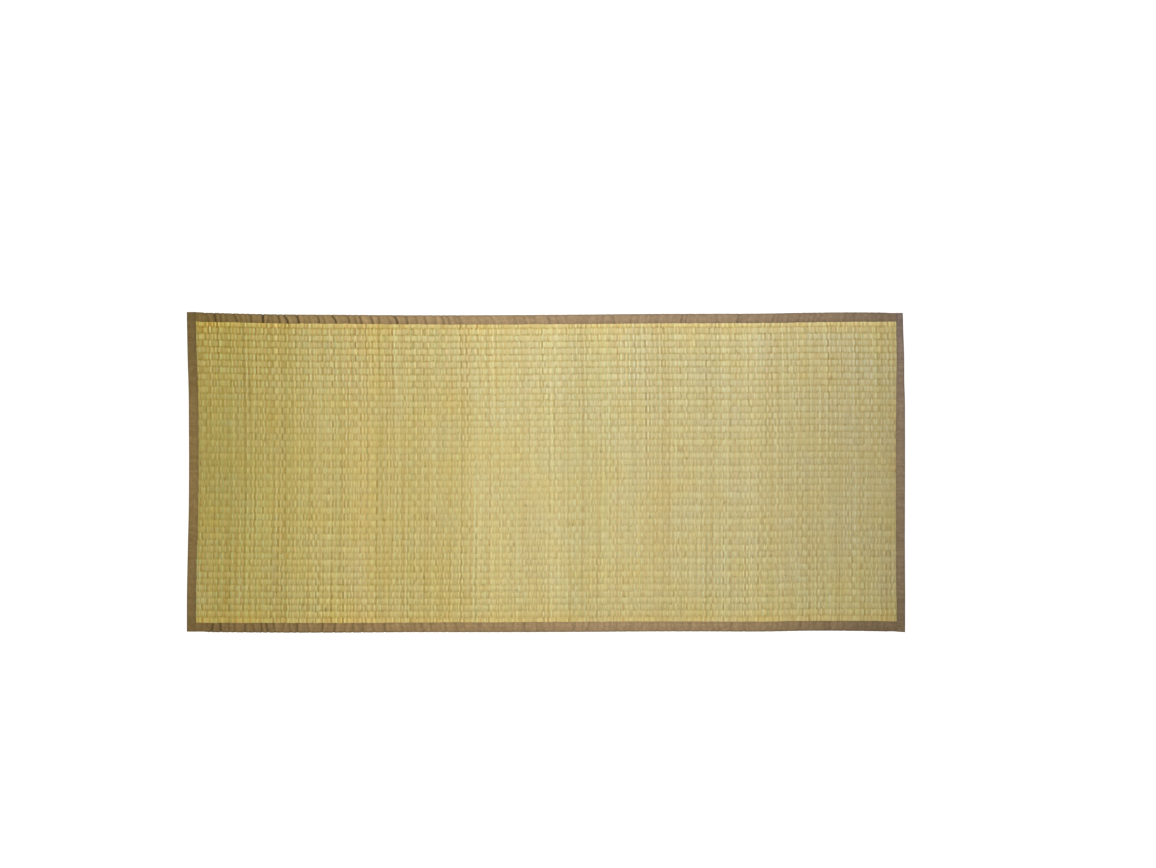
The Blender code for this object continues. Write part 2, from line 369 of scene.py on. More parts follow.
def ease(low: float, high: float, value: np.ndarray | float) -> np.ndarray:
    """Ease from 0 below low to 1 above high, which may be the smaller of the two."""
    share = np.clip((value - low) / (high - low), 0.0, 1.0)
    return share * share * (3 - 2 * share)


@dataclass(frozen=True)
class Scatter:
    """Random factors about 1, held inside a range."""

    spread: float
    low: float
    high: float

    def draw(self, rng: np.random.Generator, shape: int | tuple[int, ...]) -> np.ndarray:
        """Draw as many factors as a shape holds."""
        return np.clip(rng.normal(1.0, self.spread, shape), self.low, self.high)


def bump(away: np.ndarray, reach: float) -> np.ndarray:
    """Give a soft bump: 1 at no distance, about a third at its reach and next to nothing at twice it."""
    return np.exp(-((away / reach) ** 2))


def loft(name: str, rings: np.ndarray, colours: np.ndarray | None = None,
         sharp: Sequence[int] = ()) -> bpy.types.Object:
    """Skin sets of closed rings into capped tubes, all in one mesh.

    Args:
        name: The new object's name.
        rings: Points, as tubes by stations by ring points by 3. Seen from a tube's first station
            towards its last, the points go round clockwise.
        colours: Optional colours for the attribute "tint", as tubes by stations by ring points
            by 3, where a length of 1 stands for every ring point.
        sharp: The ring points whose edges along the tube are shaded sharp.

    Returns:
        The object, shaded smooth and linked to the scene.
    """
    tubes, stations, around, _ = rings.shape
    index = np.arange(tubes * stations * around).reshape(tubes, stations, around)
    here, ahead = index[:, :-1, :], index[:, 1:, :]
    walls = np.stack([here, ahead, np.roll(ahead, -1, axis=2), np.roll(here, -1, axis=2)], axis=-1)
    start_caps, end_caps = index[:, 0, :], index[:, -1, ::-1]
    corners = np.concatenate([walls.reshape(-1), start_caps.reshape(-1), end_caps.reshape(-1)])
    wall_starts = np.arange(walls.size // 4) * 4
    cap_starts = walls.size + np.arange(2 * tubes) * around
    starts = np.concatenate([wall_starts, cap_starts])
    mesh = bpy.data.meshes.new(name)
    mesh.vertices.add(index.size)
    mesh.vertices.foreach_set("co", rings.reshape(-1))
    mesh.loops.add(corners.size)
    mesh.loops.foreach_set("vertex_index", corners)
    mesh.polygons.add(len(starts))
    mesh.polygons.foreach_set("loop_start", starts)
    mesh.update(calc_edges=True)
    if colours is not None:
        spread = np.broadcast_to(colours, rings.shape).reshape(-1, 3)
        solid = np.concatenate([spread, np.ones((len(spread), 1))], axis=1)
        tint = mesh.attributes.new("tint", "FLOAT_COLOR", "POINT")
        tint.data.foreach_set("color", solid.reshape(-1))
    mesh.shade_smooth()
    if sharp:
        pairs = np.empty(2 * len(mesh.edges), dtype=int)
        mesh.edges.foreach_get("vertices", pairs)
        first, second = pairs.reshape(-1, 2).T
        along = (first % around == second % around) & np.isin(first % around, sharp)
        mesh.attributes.new("sharp_edge", "BOOLEAN", "EDGE").data.foreach_set("value", along)
    piece = bpy.data.objects.new(name, mesh)
    bpy.context.scene.collection.objects.link(piece)
    return piece


def points(x: np.ndarray | float, y: np.ndarray | float, z: np.ndarray | float) -> np.ndarray:
    """Give points by their coordinates, each of which may be one number for all of them."""
    return np.stack(np.broadcast_arrays(x, y, z), axis=-1)


def rod_corners() -> list[tuple[float, float]]:
    """List the four corners of a thin thread's section, as shares of its radius."""
    turns = [math.tau * corner / 4 for corner in range(4)]
    return [(math.cos(turn), math.sin(turn)) for turn in turns]


def opaque(colour: Colour) -> tuple[float, float, float, float]:
    """Give a colour its full alpha."""
    return (*colour, 1.0)


class Sketch:
    """A material's node tree, with a short method for each kind of node that the finishes use."""

    def __init__(self, name: str) -> None:
        """Start a Principled material.

        Args:
            name: The material's name.
        """
        self.material = bpy.data.materials.new(name)
        self.material.use_nodes = True
        self.tree = self.material.node_tree
        self.shader = self.tree.nodes["Principled BSDF"]

    def set(self, socket: bpy.types.NodeSocket, value: object) -> None:
        """Wire a socket to an output, or give it a value.

        Args:
            socket: The input socket.
            value: An output socket, or the input's own value.
        """
        if isinstance(value, bpy.types.NodeSocket):
            self.tree.links.new(value, socket)
        else:
            socket.default_value = value

    def dress(self, values: dict[str, object]) -> None:
        """Wire the shader's inputs, or give them values, by name."""
        for name, value in values.items():
            self.set(self.shader.inputs[name], value)

    def node(self, kind: str, values: dict | None = None, **settings: object) -> bpy.types.Node:
        """Add a node.

        Args:
            kind: The node's type, without "ShaderNode".
            values: Values or output sockets for its inputs, by name or number.
            **settings: The node's own properties.

        Returns:
            The new node.
        """
        made = self.tree.nodes.new("ShaderNode" + kind)
        for key, value in settings.items():
            setattr(made, key, value)
        for key, value in (values or {}).items():
            self.set(made.inputs[key], value)
        return made

    def math(self, operation: str, first: object, second: object = 0.0) -> bpy.types.NodeSocket:
        """Work out one number from two."""
        return self.node("Math", {0: first, 1: second}, operation=operation).outputs[0]

    def tint(self) -> bpy.types.NodeSocket:
        """Read the mesh's own colours."""
        return self.node("Attribute", attribute_name="tint").outputs["Color"]

    def place(self, scale: Triple) -> bpy.types.NodeSocket:
        """Give the object's own coordinates, scaled."""
        coordinates = self.node("TexCoord").outputs["Object"]
        return self.node("Mapping", {"Vector": coordinates, "Scale": scale}).outputs["Vector"]

    def noise(self, scale: Triple, detail: float) -> bpy.types.NodeSocket:
        """Give noise from 0 to 1 whose grains are one over the scale long, in metres."""
        inputs = {"Vector": self.place(scale), "Scale": 1.0, "Detail": detail}
        return self.node("TexNoise", inputs).outputs["Fac"]

    def between(self, value: object, source: Span, target: Span) -> bpy.types.NodeSocket:
        """Map a number from one range to another, held inside it."""
        ends = dict(zip(("From Min", "From Max", "To Min", "To Max"), (*source, *target)))
        return self.node("MapRange", {"Value": value, **ends}).outputs["Result"]

    def scaled(self, colour: object, factor: object) -> bpy.types.NodeSocket:
        """Multiply a colour by a number."""
        return self.node("VectorMath", {0: colour, "Scale": factor}, operation="SCALE").outputs[0]

    def times(self, first: object, second: object) -> bpy.types.NodeSocket:
        """Multiply two colours."""
        return self.node("VectorMath", {0: first, 1: second}, operation="MULTIPLY").outputs[0]

    def mixed(self, share: object, first: object, second: object) -> bpy.types.NodeSocket:
        """Mix two colours: inputs 6 and 7 are the node's own colour inputs, and 2 is its output."""
        return self.node("Mix", {0: share, 6: first, 7: second}, data_type="RGBA").outputs[2]

    def bump(self, height: object, distance: float, strength: float) -> None:
        """Wire a height to the shader's normal."""
        made = self.node("Bump", {"Height": height, "Distance": distance, "Strength": strength})
        self.dress({"Normal": made.outputs["Normal"]})


# The range that noise mostly keeps to
NOISE = (0.3, 0.7)


@dataclass(frozen=True)
class RushFinish:
    """The satin skin of a dried rush stalk, its colour and painted shade in the attribute "tint"."""

    name: str = "dried_rush"
    fibre_per_m: float = 1400.0
    fibre_run_per_m: float = 30.0
    fibre_shade: Span = (0.86, 1.13)
    fibre_height: float = 0.00012
    fibre_relief: float = 0.6
    scar_per_m: float = 95.0
    scar_stretch: float = 0.3
    scar_edge: Span = (0.66, 0.76)
    scar_share: float = 0.55
    scar_colour: Colour = (0.17, 0.095, 0.03)
    age_per_m: float = 9.0
    green_age: Colour = (0.985, 1.005, 1.10)
    golden_age: Colour = (1.015, 0.99, 0.90)
    roughness: Span = (0.62, 0.44)
    specular: float = 0.35

    def build(self) -> bpy.types.Material:
        """Make the material.

        Returns:
            The material.
        """
        sketch = Sketch(self.name)
        fibre = sketch.noise((self.fibre_per_m, self.fibre_run_per_m, self.fibre_per_m), detail=3.0)
        scar_run_per_m = self.scar_per_m * self.scar_stretch
        scar = sketch.noise((self.scar_per_m, scar_run_per_m, self.scar_per_m), detail=4.0)
        age = sketch.between(sketch.noise((self.age_per_m,) * 3, detail=2.0), NOISE, (0.0, 1.0))
        colour = sketch.scaled(sketch.tint(), sketch.between(fibre, NOISE, self.fibre_shade))
        aged = sketch.mixed(age, opaque(self.green_age), opaque(self.golden_age))
        colour = sketch.times(colour, aged)
        scarred = sketch.between(scar, self.scar_edge, (0.0, self.scar_share))
        sketch.dress({
            "Base Color": sketch.mixed(scarred, colour, opaque(self.scar_colour)),
            "Roughness": sketch.between(fibre, NOISE, self.roughness),
            "Specular IOR Level": self.specular,
        })
        sketch.bump(fibre, self.fibre_height, self.fibre_relief)
        return sketch.material


@dataclass(frozen=True)
class TwineFinish:
    """A plain spun thread: the warps and the sewing, and the core between the stalks in painted shade.
    """

    name: str
    colour: Colour
    twist_per_m: float = 900.0
    twist_shade: Span = (0.75, 1.2)
    twist_height: float = 0.0002
    twist_relief: float = 0.5
    roughness: float = 0.85
    specular: float = 0.2

    def build(self) -> bpy.types.Material:
        """Make the material.

        Returns:
            The material.
        """
        sketch = Sketch(self.name)
        twist = sketch.noise((self.twist_per_m,) * 3, detail=2.0)
        sketch.dress({
            "Base Color": sketch.scaled(self.colour, sketch.between(twist, NOISE, self.twist_shade)),
            "Roughness": self.roughness,
            "Specular IOR Level": self.specular,
        })
        sketch.bump(twist, self.twist_height, self.twist_relief)
        return sketch.material


@dataclass(frozen=True)
class TapeFinish:
    """Brown plain-woven cotton tape, darker where its attribute "tint" is low, which holds painted light
    and shade.
    """

    name: str = "cotton_tape"
    colour: Colour = (0.231, 0.175, 0.139)
    thread_pitch: float = 0.00075
    thread_shade: Span = (0.88, 1.10)
    slub_per_m: float = 1300.0
    slub_run_per_m: float = 60.0
    slub_span: Span = (0.75, 1.25)
    slub_shade: Span = (0.80, 1.20)
    cloud_per_m: float = 110.0
    cloud_shade: Span = (0.89, 1.11)
    weave_height: float = 0.00012
    weave_relief: float = 0.7
    roughness: float = 0.88
    specular: float = 0.2
    sheen: float = 0.12

    def build(self) -> bpy.types.Material:
        """Make the material.

        Returns:
            The material.
        """
        sketch = Sketch(self.name)
        where = sketch.node("SeparateXYZ", {0: sketch.place((math.pi / self.thread_pitch,) * 3)})
        over, under = (sketch.math("SINE", where.outputs[axis]) for axis in ("X", "Y"))
        weave = sketch.math("MULTIPLY", over, under)
        fine, run = self.slub_per_m, self.slub_run_per_m
        slubs = (sketch.noise(scale, detail=2.0) for scale in ((run, fine, run), (fine, run, run)))
        slub = sketch.math("ADD", *slubs)
        cloud = sketch.noise((self.cloud_per_m,) * 3, detail=4.0)
        colour = sketch.times(self.colour, sketch.tint())
        for pattern, span, shade in (
            (cloud, NOISE, self.cloud_shade),
            (slub, self.slub_span, self.slub_shade),
            (weave, (-1.0, 1.0), self.thread_shade),
        ):
            colour = sketch.scaled(colour, sketch.between(pattern, span, shade))
        sketch.dress({
            "Base Color": colour,
            "Roughness": self.roughness,
            "Specular IOR Level": self.specular,
            "Sheen Weight": self.sheen,
        })
        sketch.bump(sketch.math("ADD", weave, slub), self.weave_height, self.weave_relief)
        return sketch.material


@dataclass(frozen=True)
class FloorFinish:
    """A plain white studio floor that glows by itself, as evenly white as a light table."""

    name: str = "studio_floor"
    colour: Colour = (0.1, 0.1, 0.1)
    glow_colour: Colour = (1.0, 1.0, 1.0)
    glow: float = 1.0
    roughness: float = 0.9

    def build(self) -> bpy.types.Material:
        """Make the material.

        Returns:
            The material.
        """
        sketch = Sketch(self.name)
        sketch.dress({
            "Base Color": opaque(self.colour),
            "Roughness": self.roughness,
            "Specular IOR Level": 0.0,
            "Emission Color": opaque(self.glow_colour),
            "Emission Strength": self.glow,
        })
        return sketch.material


@dataclass(frozen=True)
class StalkToneAndShade:
    """How the stalks' colours spread about their mean, as natural logarithms of reflectance.

    A reach is a distance from a long binding, in metres. keep_per_row and clump_keep say how much of
    a tone is kept from one row to the next, and from one stalk to the one two along. own_share and
    clump_share are shares of the variance, and dark_tail makes the dark streaks reach further than
    the light ones. The even stalks are lighter than the odd ones by the even tone and by the swing of
    a slow wave along the mat. Beside the stalks' own colours it holds painted light and shade:
    painted shade in the grooves at the row lines, painted shade and painted light on the front and
    back slopes of each crest, and painted light on the first row beside the long bindings.
    """

    mean: Colour = (0.3575, 0.333, 0.219)
    light_and_dark: Colour = (0.083, 0.109, 0.163)
    warm_and_cool: Colour = (0.022, -0.008, -0.040)
    green_and_red: Colour = (-0.017, 0.015, -0.010)
    keep_per_row: float = 0.91
    own_share: float = 0.20
    back_gold: Colour = (0.05, -0.02, -0.20)
    back_reach: float = 0.045
    front_gold: Colour = (0.055, -0.03, -0.17)
    front_reach: float = 0.050
    # Painted light on the first row beside the long bindings
    first_row_painted_light: float = 0.10
    first_reach: float = 0.008
    # Painted shade in the grooves at the row lines
    row_line_painted_shade: Colour = (-0.30, -0.39, -0.84)
    line_shade_scatter: Scatter = Scatter(0.5, 0.0, 2.0)
    # Painted shade on the front of each crest and painted light on its back, as if lit from the back
    row_foot_painted_shade: float = -0.030
    row_head_painted_light: float = 0.015
    neighbour_contrast: float = 0.32
    clump_keep: float = 0.50
    clump_share: float = 0.08
    dark_tail: float = 0.10
    rust_from: float = 1.2
    rust: Colour = (0.0, -0.10, -0.28)
    even_tone: float = 0.012
    even_swing: float = 0.012
    even_wave: float = 1.15
    even_crest: float = -0.65

    def walk(self, rng: np.random.Generator, stalks: int, rows: int) -> np.ndarray:
        """Draw a slow random walk along each stalk, of spread 1.

        Args:
            rng: The seeded generator.
            stalks: How many stalks.
            rows: How many rows of the weave each one crosses.

        Returns:
            The walk's values, as stalks by rows.
        """
        tones = np.empty((stalks, rows))
        tones[:, 0] = rng.normal(size=stalks)
        step = math.sqrt(1 - self.keep_per_row ** 2)
        for row in range(1, rows):
            tones[:, row] = self.keep_per_row * tones[:, row - 1] + step * rng.normal(size=stalks)
        own = rng.normal(size=(stalks, 1))
        return math.sqrt(self.own_share) * own + math.sqrt(1 - self.own_share) * tones

    def drift(self, rng: np.random.Generator, stalks: int, rows: int) -> np.ndarray:
        """Draw each stalk's own tone down its length, beside that of the clump it stands in.

        Args:
            rng: The seeded generator.
            stalks: How many stalks.
            rows: How many rows of the weave each one crosses.

        Returns:
            The tones, of spread about 1, as stalks by rows.
        """
        drawn = self.walk(rng, stalks, rows)
        # In each row every other stalk is on top, so the one beside it in sight is two along
        beside = np.roll(drawn, 2, axis=0) + np.roll(drawn, -2, axis=0)
        drawn = drawn - self.neighbour_contrast * beside
        drawn = drawn / math.sqrt(1 + 2 * self.neighbour_contrast ** 2)
        clump = self.walk(rng, stalks, rows)
        fresh = math.sqrt(1 - self.clump_keep ** 2)
        for stalk in range(2, stalks):
            clump[stalk] = self.clump_keep * clump[stalk - 2] + fresh * clump[stalk]
        drawn = math.sqrt(1 - self.clump_share) * drawn + math.sqrt(self.clump_share) * clump
        return drawn - self.dark_tail * (drawn ** 2 - 1)

    def paint(self, rng: np.random.Generator, stalks: int, rows: int) -> np.ndarray:
        """Work out how every stalk differs from its bundle in every row.

        Args:
            rng: The seeded generator.
            stalks: How many stalks.
            rows: How many rows of the weave each one crosses.

        Returns:
            The differences, as stalks by rows by 3.
        """
        shades = np.zeros((stalks, rows, 3))
        for spread in (self.light_and_dark, self.warm_and_cool, self.green_and_red):
            shades += self.drift(rng, stalks, rows)[:, :, None] * np.array(spread)
        rusty = np.maximum(self.drift(rng, stalks, rows) - self.rust_from, 0.0)
        return shades + rusty[:, :, None] * np.array(self.rust)

    def bundled(self, x: np.ndarray) -> np.ndarray:
        """Give each stalk its bundle's colour, and tell even stalks from odd ones.

        Args:
            x: Where each stalk lies along the mat.

        Returns:
            The logarithms of the colours, as stalks by 3.
        """
        starts = [bundle.from_mm * MM for bundle in BUNDLES]
        shades = np.array([np.multiply(bundle.shade.value, bundle.share) for bundle in BUNDLES])
        own = shades[np.maximum(np.searchsorted(starts, x, side="right") - 1, 0)]
        even = np.where(np.arange(len(x)) % 2 == 0, 1.0, -1.0)
        wave = np.cos(math.tau * (x - self.even_crest) / self.even_wave)
        lighter = even * (self.even_tone + self.even_swing * wave)
        return np.log(np.array(self.mean)) + own + lighter[:, None]

    def edges(self, from_back: np.ndarray, from_front: np.ndarray) -> np.ndarray:
        """Give how the rush is yellower near the long bindings, with painted light on its first row.

        Args:
            from_back: How far each place is from the back row's end.
            from_front: How far it is from the front row's end.

        Returns:
            Logarithms, with one more axis for the three colours.
        """
        gold = ease(self.back_reach, 0.0, from_back)[..., None] * np.array(self.back_gold)
        gold = gold + ease(self.front_reach, 0.0, from_front)[..., None] * np.array(self.front_gold)
        near = np.minimum(from_back, from_front)
        return gold + self.first_row_painted_light * ease(2 * self.first_reach, self.first_reach, near)[..., None]

    def patched_tone_and_light(self, x: np.ndarray, y: np.ndarray) -> np.ndarray:
        """Add up the broad patches of colour and painted light and shade.

        Args:
            x: Places along the mat.
            y: The same places across it.

        Returns:
            Logarithms, with one more axis for the three colours.
        """
        shift = np.zeros((*x.shape, 3))
        for patch in TONE_AND_LIGHT_PATCHES:
            along = (x - patch.middle[0]) / patch.reach[0]
            across = (y - patch.middle[1]) / patch.reach[1]
            shift += np.exp(-(along ** 2 + across ** 2))[..., None] * np.array(patch.shift)
        return shift


@dataclass
class RushField:
    """The woven field: stalks across the width, warp threads along the length.

    The rim's sizes are the weave's where the bindings press it flat, and rim_from is the stretch
    inwards from a binding's sewn edge over which they set in. A stalk's section is given as shares
    of its width and thickness. A fill is the share of its room that a stalk takes up, at a row line
    or on a crest, and line_aside is how far from the middle the painted shade of the row lines has
    the strengths that the table gives for the left and the right.
    """

    stalks: int = 830
    panels: int = 5
    seed: int = 88
    middle: float = 0.00150
    swing: float = 0.00085
    thickness: float = 0.00120
    rim_middle: float = 0.00185
    rim_swing: float = 0.00040
    rim_thickness: float = 0.00090
    rim_from: Span = (0.004, -0.001)
    end_depth: float = 0.012
    side_depth: float = 0.007
    first_y: float = -0.4250
    last_y: float = 0.4205
    stations_in_row: tuple[float, ...] = (0.0, 0.21, 0.79)
    row_snap: float = 1e-6
    section: tuple[Span, ...] = ((-0.5, -0.02), (0.0, 0.5), (0.5, -0.02))
    sharp_corners: tuple[int, ...] = (0, 2)
    ridge_lean: float = 0.10
    line_aside: float = 0.85
    streaks_along: tuple[tuple[float, float], ...] = (
        (-0.9, 1.46), (-0.5, 1.28), (-0.3, 1.00), (0.0, 0.91), (0.3, 0.90), (0.7, 0.91), (0.9, 1.06),
    )
    streaks_across: tuple[tuple[float, float], ...] = (
        (-0.42, 1.30), (-0.40, 1.05), (-0.33, 1.06), (-0.2, 1.03), (-0.03, 0.88),
        (0.1, 0.96), (0.34, 1.17), (0.395, 1.14), (0.415, 1.45),
    )
    line_fill: float = 0.88
    crest_fill: float = 1.04
    crest_scatter: Scatter = Scatter(0.035, 0.9, 1.06)
    take_scatter: Scatter = Scatter(0.24, 0.5, 1.7)
    thick_scatter: Scatter = Scatter(0.08, 0.8, 1.1)
    wander: float = 0.00020
    line_wobble: float = 0.00090
    warp_height: float = 0.00165
    warp_radius: float = 0.00030
    warp_stations: int = 17
    core_height: float = 0.00128
    core_thickness: float = 0.00006
    core_stations: int = 25
    warp_finish: TwineFinish = TwineFinish("warp_twine", (0.30, 0.22, 0.11))
    # The core's dark colour is painted shade, standing for the shaded stalks inside the weave
    core_shade_finish: TwineFinish = TwineFinish("shaded_rush", (0.20, 0.155, 0.065), twist_per_m=300.0)
    tone_and_shade: StalkToneAndShade = field(default_factory=StalkToneAndShade)

    def pressed(self, x: np.ndarray, y: np.ndarray) -> np.ndarray:
        """Work out how far the weave is pressed flat by the bindings.

        Args:
            x: Places along the mat.
            y: The same places across it.

        Returns:
            0 in the field, 1 under the bindings.
        """
        pressed = np.zeros(np.broadcast(x, y).shape)
        for side in (BACK, FRONT, LEFT, RIGHT):
            at, across = (x, y) if side.along_x else (y, x)
            margin = side.depth_of(at, across) - side.face.at(at)
            pressed = np.maximum(pressed, ease(*self.rim_from, margin))
        return pressed

    def stations(self) -> tuple[np.ndarray, np.ndarray]:
        """List the stations along a stalk.

        Returns:
            Their places in rows from the middle row line, and the row that each lies in.
        """
        first = math.floor((self.first_y - ROW_SHIFT) / ROW_PITCH)
        last = math.ceil((self.last_y - ROW_SHIFT) / ROW_PITCH)
        places = np.array([row + share for row in range(first, last) for share in self.stations_in_row])
        within = (row_y(places) >= self.first_y) & (row_y(places) <= self.last_y)
        return places[within], np.floor(places[within] + self.row_snap).astype(int)

    def bowed(self, x: np.ndarray, y: np.ndarray) -> np.ndarray:
        """Bend straight rows as they lie in the mat.

        Args:
            x: Places along the mat.
            y: Places across it, before the rows are bent.

        Returns:
            The places across it as they lie.
        """
        between = np.interp(y, list(BENDS_AT_Y.values()), range(len(BENDS_AT_Y)))
        bend = 0.0
        for number, column in enumerate(BENDS_AT_Y):
            share = np.clip(1 - np.abs(between - number), 0.0, 1.0)
            bend = bend + share * SmoothColumn(ROW_BENDS, column).at(x)
        return y + bend

    def laid_out(self, rng: np.random.Generator, places: np.ndarray, shares: np.ndarray,
                 width: float) -> tuple[np.ndarray, np.ndarray]:
        """Lay the stalks out side by side.

        Args:
            rng: The seeded generator.
            places: The stations' places, in rows from the middle row line.
            shares: Each stalk's place from 0 at the left to 1 at the right.
            width: The length of mat that the stalks fill.

        Returns:
            The stations' x and y, as stalks by stations, with one more station at each end.
        """
        count = len(places) + 2
        near_x = (shares - 0.5)[:, None] * width * np.ones((1, count))
        y = np.empty((self.stalks, count))
        y[:, 1:-1] = self.bowed(near_x[:, 1:-1], row_y(places)[None, :])
        y[:, 1:-1] += rng.normal(0.0, self.line_wobble, (self.stalks, len(places)))
        y[:, 0] = FRONT.inside(near_x[:, 0], self.end_depth)
        y[:, -1] = BACK.inside(near_x[:, 0], self.end_depth)
        x = along_mat(y, shares[:, None], self.side_depth)
        return x + rng.normal(0.0, self.wander, x.shape), y

    def weave(self, rng: np.random.Generator) -> tuple[np.ndarray, np.ndarray]:
        """Work out the stalks' rings and colours.

        Args:
            rng: The seeded generator.

        Returns:
            The rings, as stalks by stations by 3 by 3, and the colours, as stalks by stations by 3.
        """
        places, rows = self.stations()
        width = RIGHT.inside(0.0, self.side_depth) - LEFT.inside(0.0, self.side_depth)
        takes = self.take_scatter.draw(rng, self.stalks)
        takes /= takes.sum()
        x, y = self.laid_out(rng, places, np.cumsum(takes) - takes / 2, width)
        over = np.where((rows[None, :] + np.arange(self.stalks)[:, None]) % 2 == 0, 1.0, -1.0)
        crest = np.zeros(x.shape)
        crest[:, 1:-1] = np.where(np.isclose(places % 1.0, 0.0)[None, :], 0.0, over)
        pressed = self.pressed(x, y)
        sizes = (
            (self.middle, self.rim_middle),
            (self.swing, self.rim_swing),
            (self.thickness, self.rim_thickness),
        )
        middle, swing, thick = (plain + (rim - plain) * pressed for plain, rim in sizes)
        thick = thick * self.thick_scatter.draw(rng, (self.stalks, 1))
        z = middle + swing * crest
        own = takes * width
        both = own + (np.roll(own, 1) + np.roll(own, -1)) / 2
        broad = (both * self.crest_fill)[:, None] * self.crest_scatter.draw(rng, x.shape)
        wide = np.where(crest != 0.0, broad, (own * self.line_fill)[:, None])
        lean = rng.uniform(-self.ridge_lean, self.ridge_lean, (self.stalks, 1))
        corners = [
            points(x + wide * (aside + (lean if up > 0 else 0.0)), y, z + thick * up)
            for aside, up in self.section
        ]
        return np.stack(corners, axis=-2), self.colours(rng, rows, places % 1.0, x, y)

    def line_shade_strength(self, x: np.ndarray, y: np.ndarray) -> np.ndarray:
        """Work out how strongly the painted shade of the row lines shows.

        Args:
            x: Places along the mat.
            y: The same places across it.

        Returns:
            The strength at each place.
        """
        at_y, *columns = np.array(LINE_SHADE_STRENGTHS).T
        left, middle, right = (np.interp(y, at_y, column) for column in columns)
        aside = np.clip(x / self.line_aside, -1.0, 1.0)
        return middle + np.abs(aside) * (np.where(aside < 0, left, right) - middle)

    def colours(self, rng: np.random.Generator, rows: np.ndarray, in_row: np.ndarray,
                x: np.ndarray, y: np.ndarray) -> np.ndarray:
        """Give every ring its stalk's colour there.

        Args:
            rng: The seeded generator.
            rows: The row of each station but the two end ones.
            in_row: How far across its row each of them lies, from 0 to 1.
            x: The stations' places along the mat, as stalks by stations.
            y: Their places across it.

        Returns:
            Linear colours, as stalks by stations by 3.
        """
        tone_and_shade = self.tone_and_shade
        shades = tone_and_shade.paint(rng, self.stalks, rows.max() - rows.min() + 1)
        own_row = np.concatenate([rows[:1], rows, rows[-1:]]) - rows.min()
        vivid = np.interp(x, *zip(*self.streaks_along)) * np.interp(y, *zip(*self.streaks_across))
        shades = shades[:, own_row, :] * vivid[:, :, None] + tone_and_shade.bundled(x.mean(axis=1))[:, None, :]
        # Painted shade at the row lines, and painted shade and light on the front and back of each crest
        strength = self.line_shade_strength(x, y)[:, 1:-1, None]
        strength = strength * tone_and_shade.line_shade_scatter.draw(rng, strength.shape)
        at_line = np.isclose(in_row, 0.0)
        shades[:, 1:-1] += at_line[None, :, None] * strength * np.array(tone_and_shade.row_line_painted_shade)
        painted_slope_shade = np.select([at_line, in_row > 0.5], [0.0, tone_and_shade.row_head_painted_light], tone_and_shade.row_foot_painted_shade)
        shades[:, 1:-1] += painted_slope_shade[None, :, None]
        return np.exp(shades + tone_and_shade.edges(self.last_y - y, y - self.first_y) + tone_and_shade.patched_tone_and_light(x, y))

    def build_stalks(self) -> list[bpy.types.Object]:
        """Make the stalks, in panels side by side.

        Returns:
            The panels, from the left to the right.
        """
        rings, colours = self.weave(np.random.default_rng(self.seed))
        tints = colours[:, :, None]
        finish = RushFinish().build()
        pieces = []
        for number, members in enumerate(np.array_split(np.arange(self.stalks), self.panels)):
            name = f"rush_stalks_{number + 1}"
            panel = loft(name, rings[members], tints[members], sharp=self.sharp_corners)
            panel.data.materials.append(finish)
            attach(panel, BODY)
            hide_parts("rush_field")
            pieces.append(panel)
        return pieces

    def build_warps(self) -> bpy.types.Object:
        """Make the warp threads, one under the crests of each row.

        Returns:
            The threads, as one piece.
        """
        places, _ = self.stations()
        rows = np.arange(math.ceil(places.min()), math.floor(places.max()))
        share = np.linspace(0.0, 1.0, self.warp_stations)[None, :]
        near_x = (2 * share - 1) * (HALF_LENGTH - self.end_depth)
        y = self.bowed(near_x, row_y(rows + 0.5)[:, None])
        x = along_mat(y, share, self.end_depth)
        corners = [
            points(x, y - self.warp_radius * aside, self.warp_height + self.warp_radius * up)
            for aside, up in rod_corners()
        ]
        warps = loft("warp_threads", np.stack(corners, axis=-2))
        warps.data.materials.append(self.warp_finish.build())
        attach(warps, BODY)
        return warps

    def build_core(self) -> bpy.types.Object:
        """Make the thin layer where the stalks cross, which closes the weave to light, in painted shade.

        Returns:
            The layer.
        """
        share = np.linspace(-1.0, 1.0, self.core_stations)
        near_x = share * (HALF_LENGTH - self.end_depth)
        back, front = BACK.inside(near_x, self.end_depth), FRONT.inside(near_x, self.end_depth)
        section = ((front, 0.0), (front, self.core_thickness), (back, self.core_thickness), (back, 0.0))
        corners = [
            points(along_mat(y, (share + 1) / 2, self.end_depth), y, self.core_height + up)
            for y, up in section
        ]
        core = loft("weave_core", np.stack(corners, axis=-2)[None])
        core.data.materials.append(self.core_shade_finish.build())
        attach(core, BODY)
        return core

    def build(self) -> list[bpy.types.Object]:
        """Make the whole field.

        Returns:
            The field's pieces.
        """
        stalks = self.build_stalks()
        warps = self.build_warps()
        core = self.build_core()
        return [*stalks, warps, core]


class TapePoint(NamedTuple):
    """A point of the folded tape's section.

    The depth from the fold is a share of the face's width and some millimetres more. pucker is the
    share of a pucker's height that reaches the point, lift is the share of what lies under it at a
    corner, and the last column is how light the cloth is there: it holds painted shade round the
    fold's turn, in the stitch groove and at the hem.
    """

    of_face: float
    more_mm: float
    z_mm: float
    pucker: float
    lift: float
    clean: float = 1.0


GROOVE_MM = -6.2
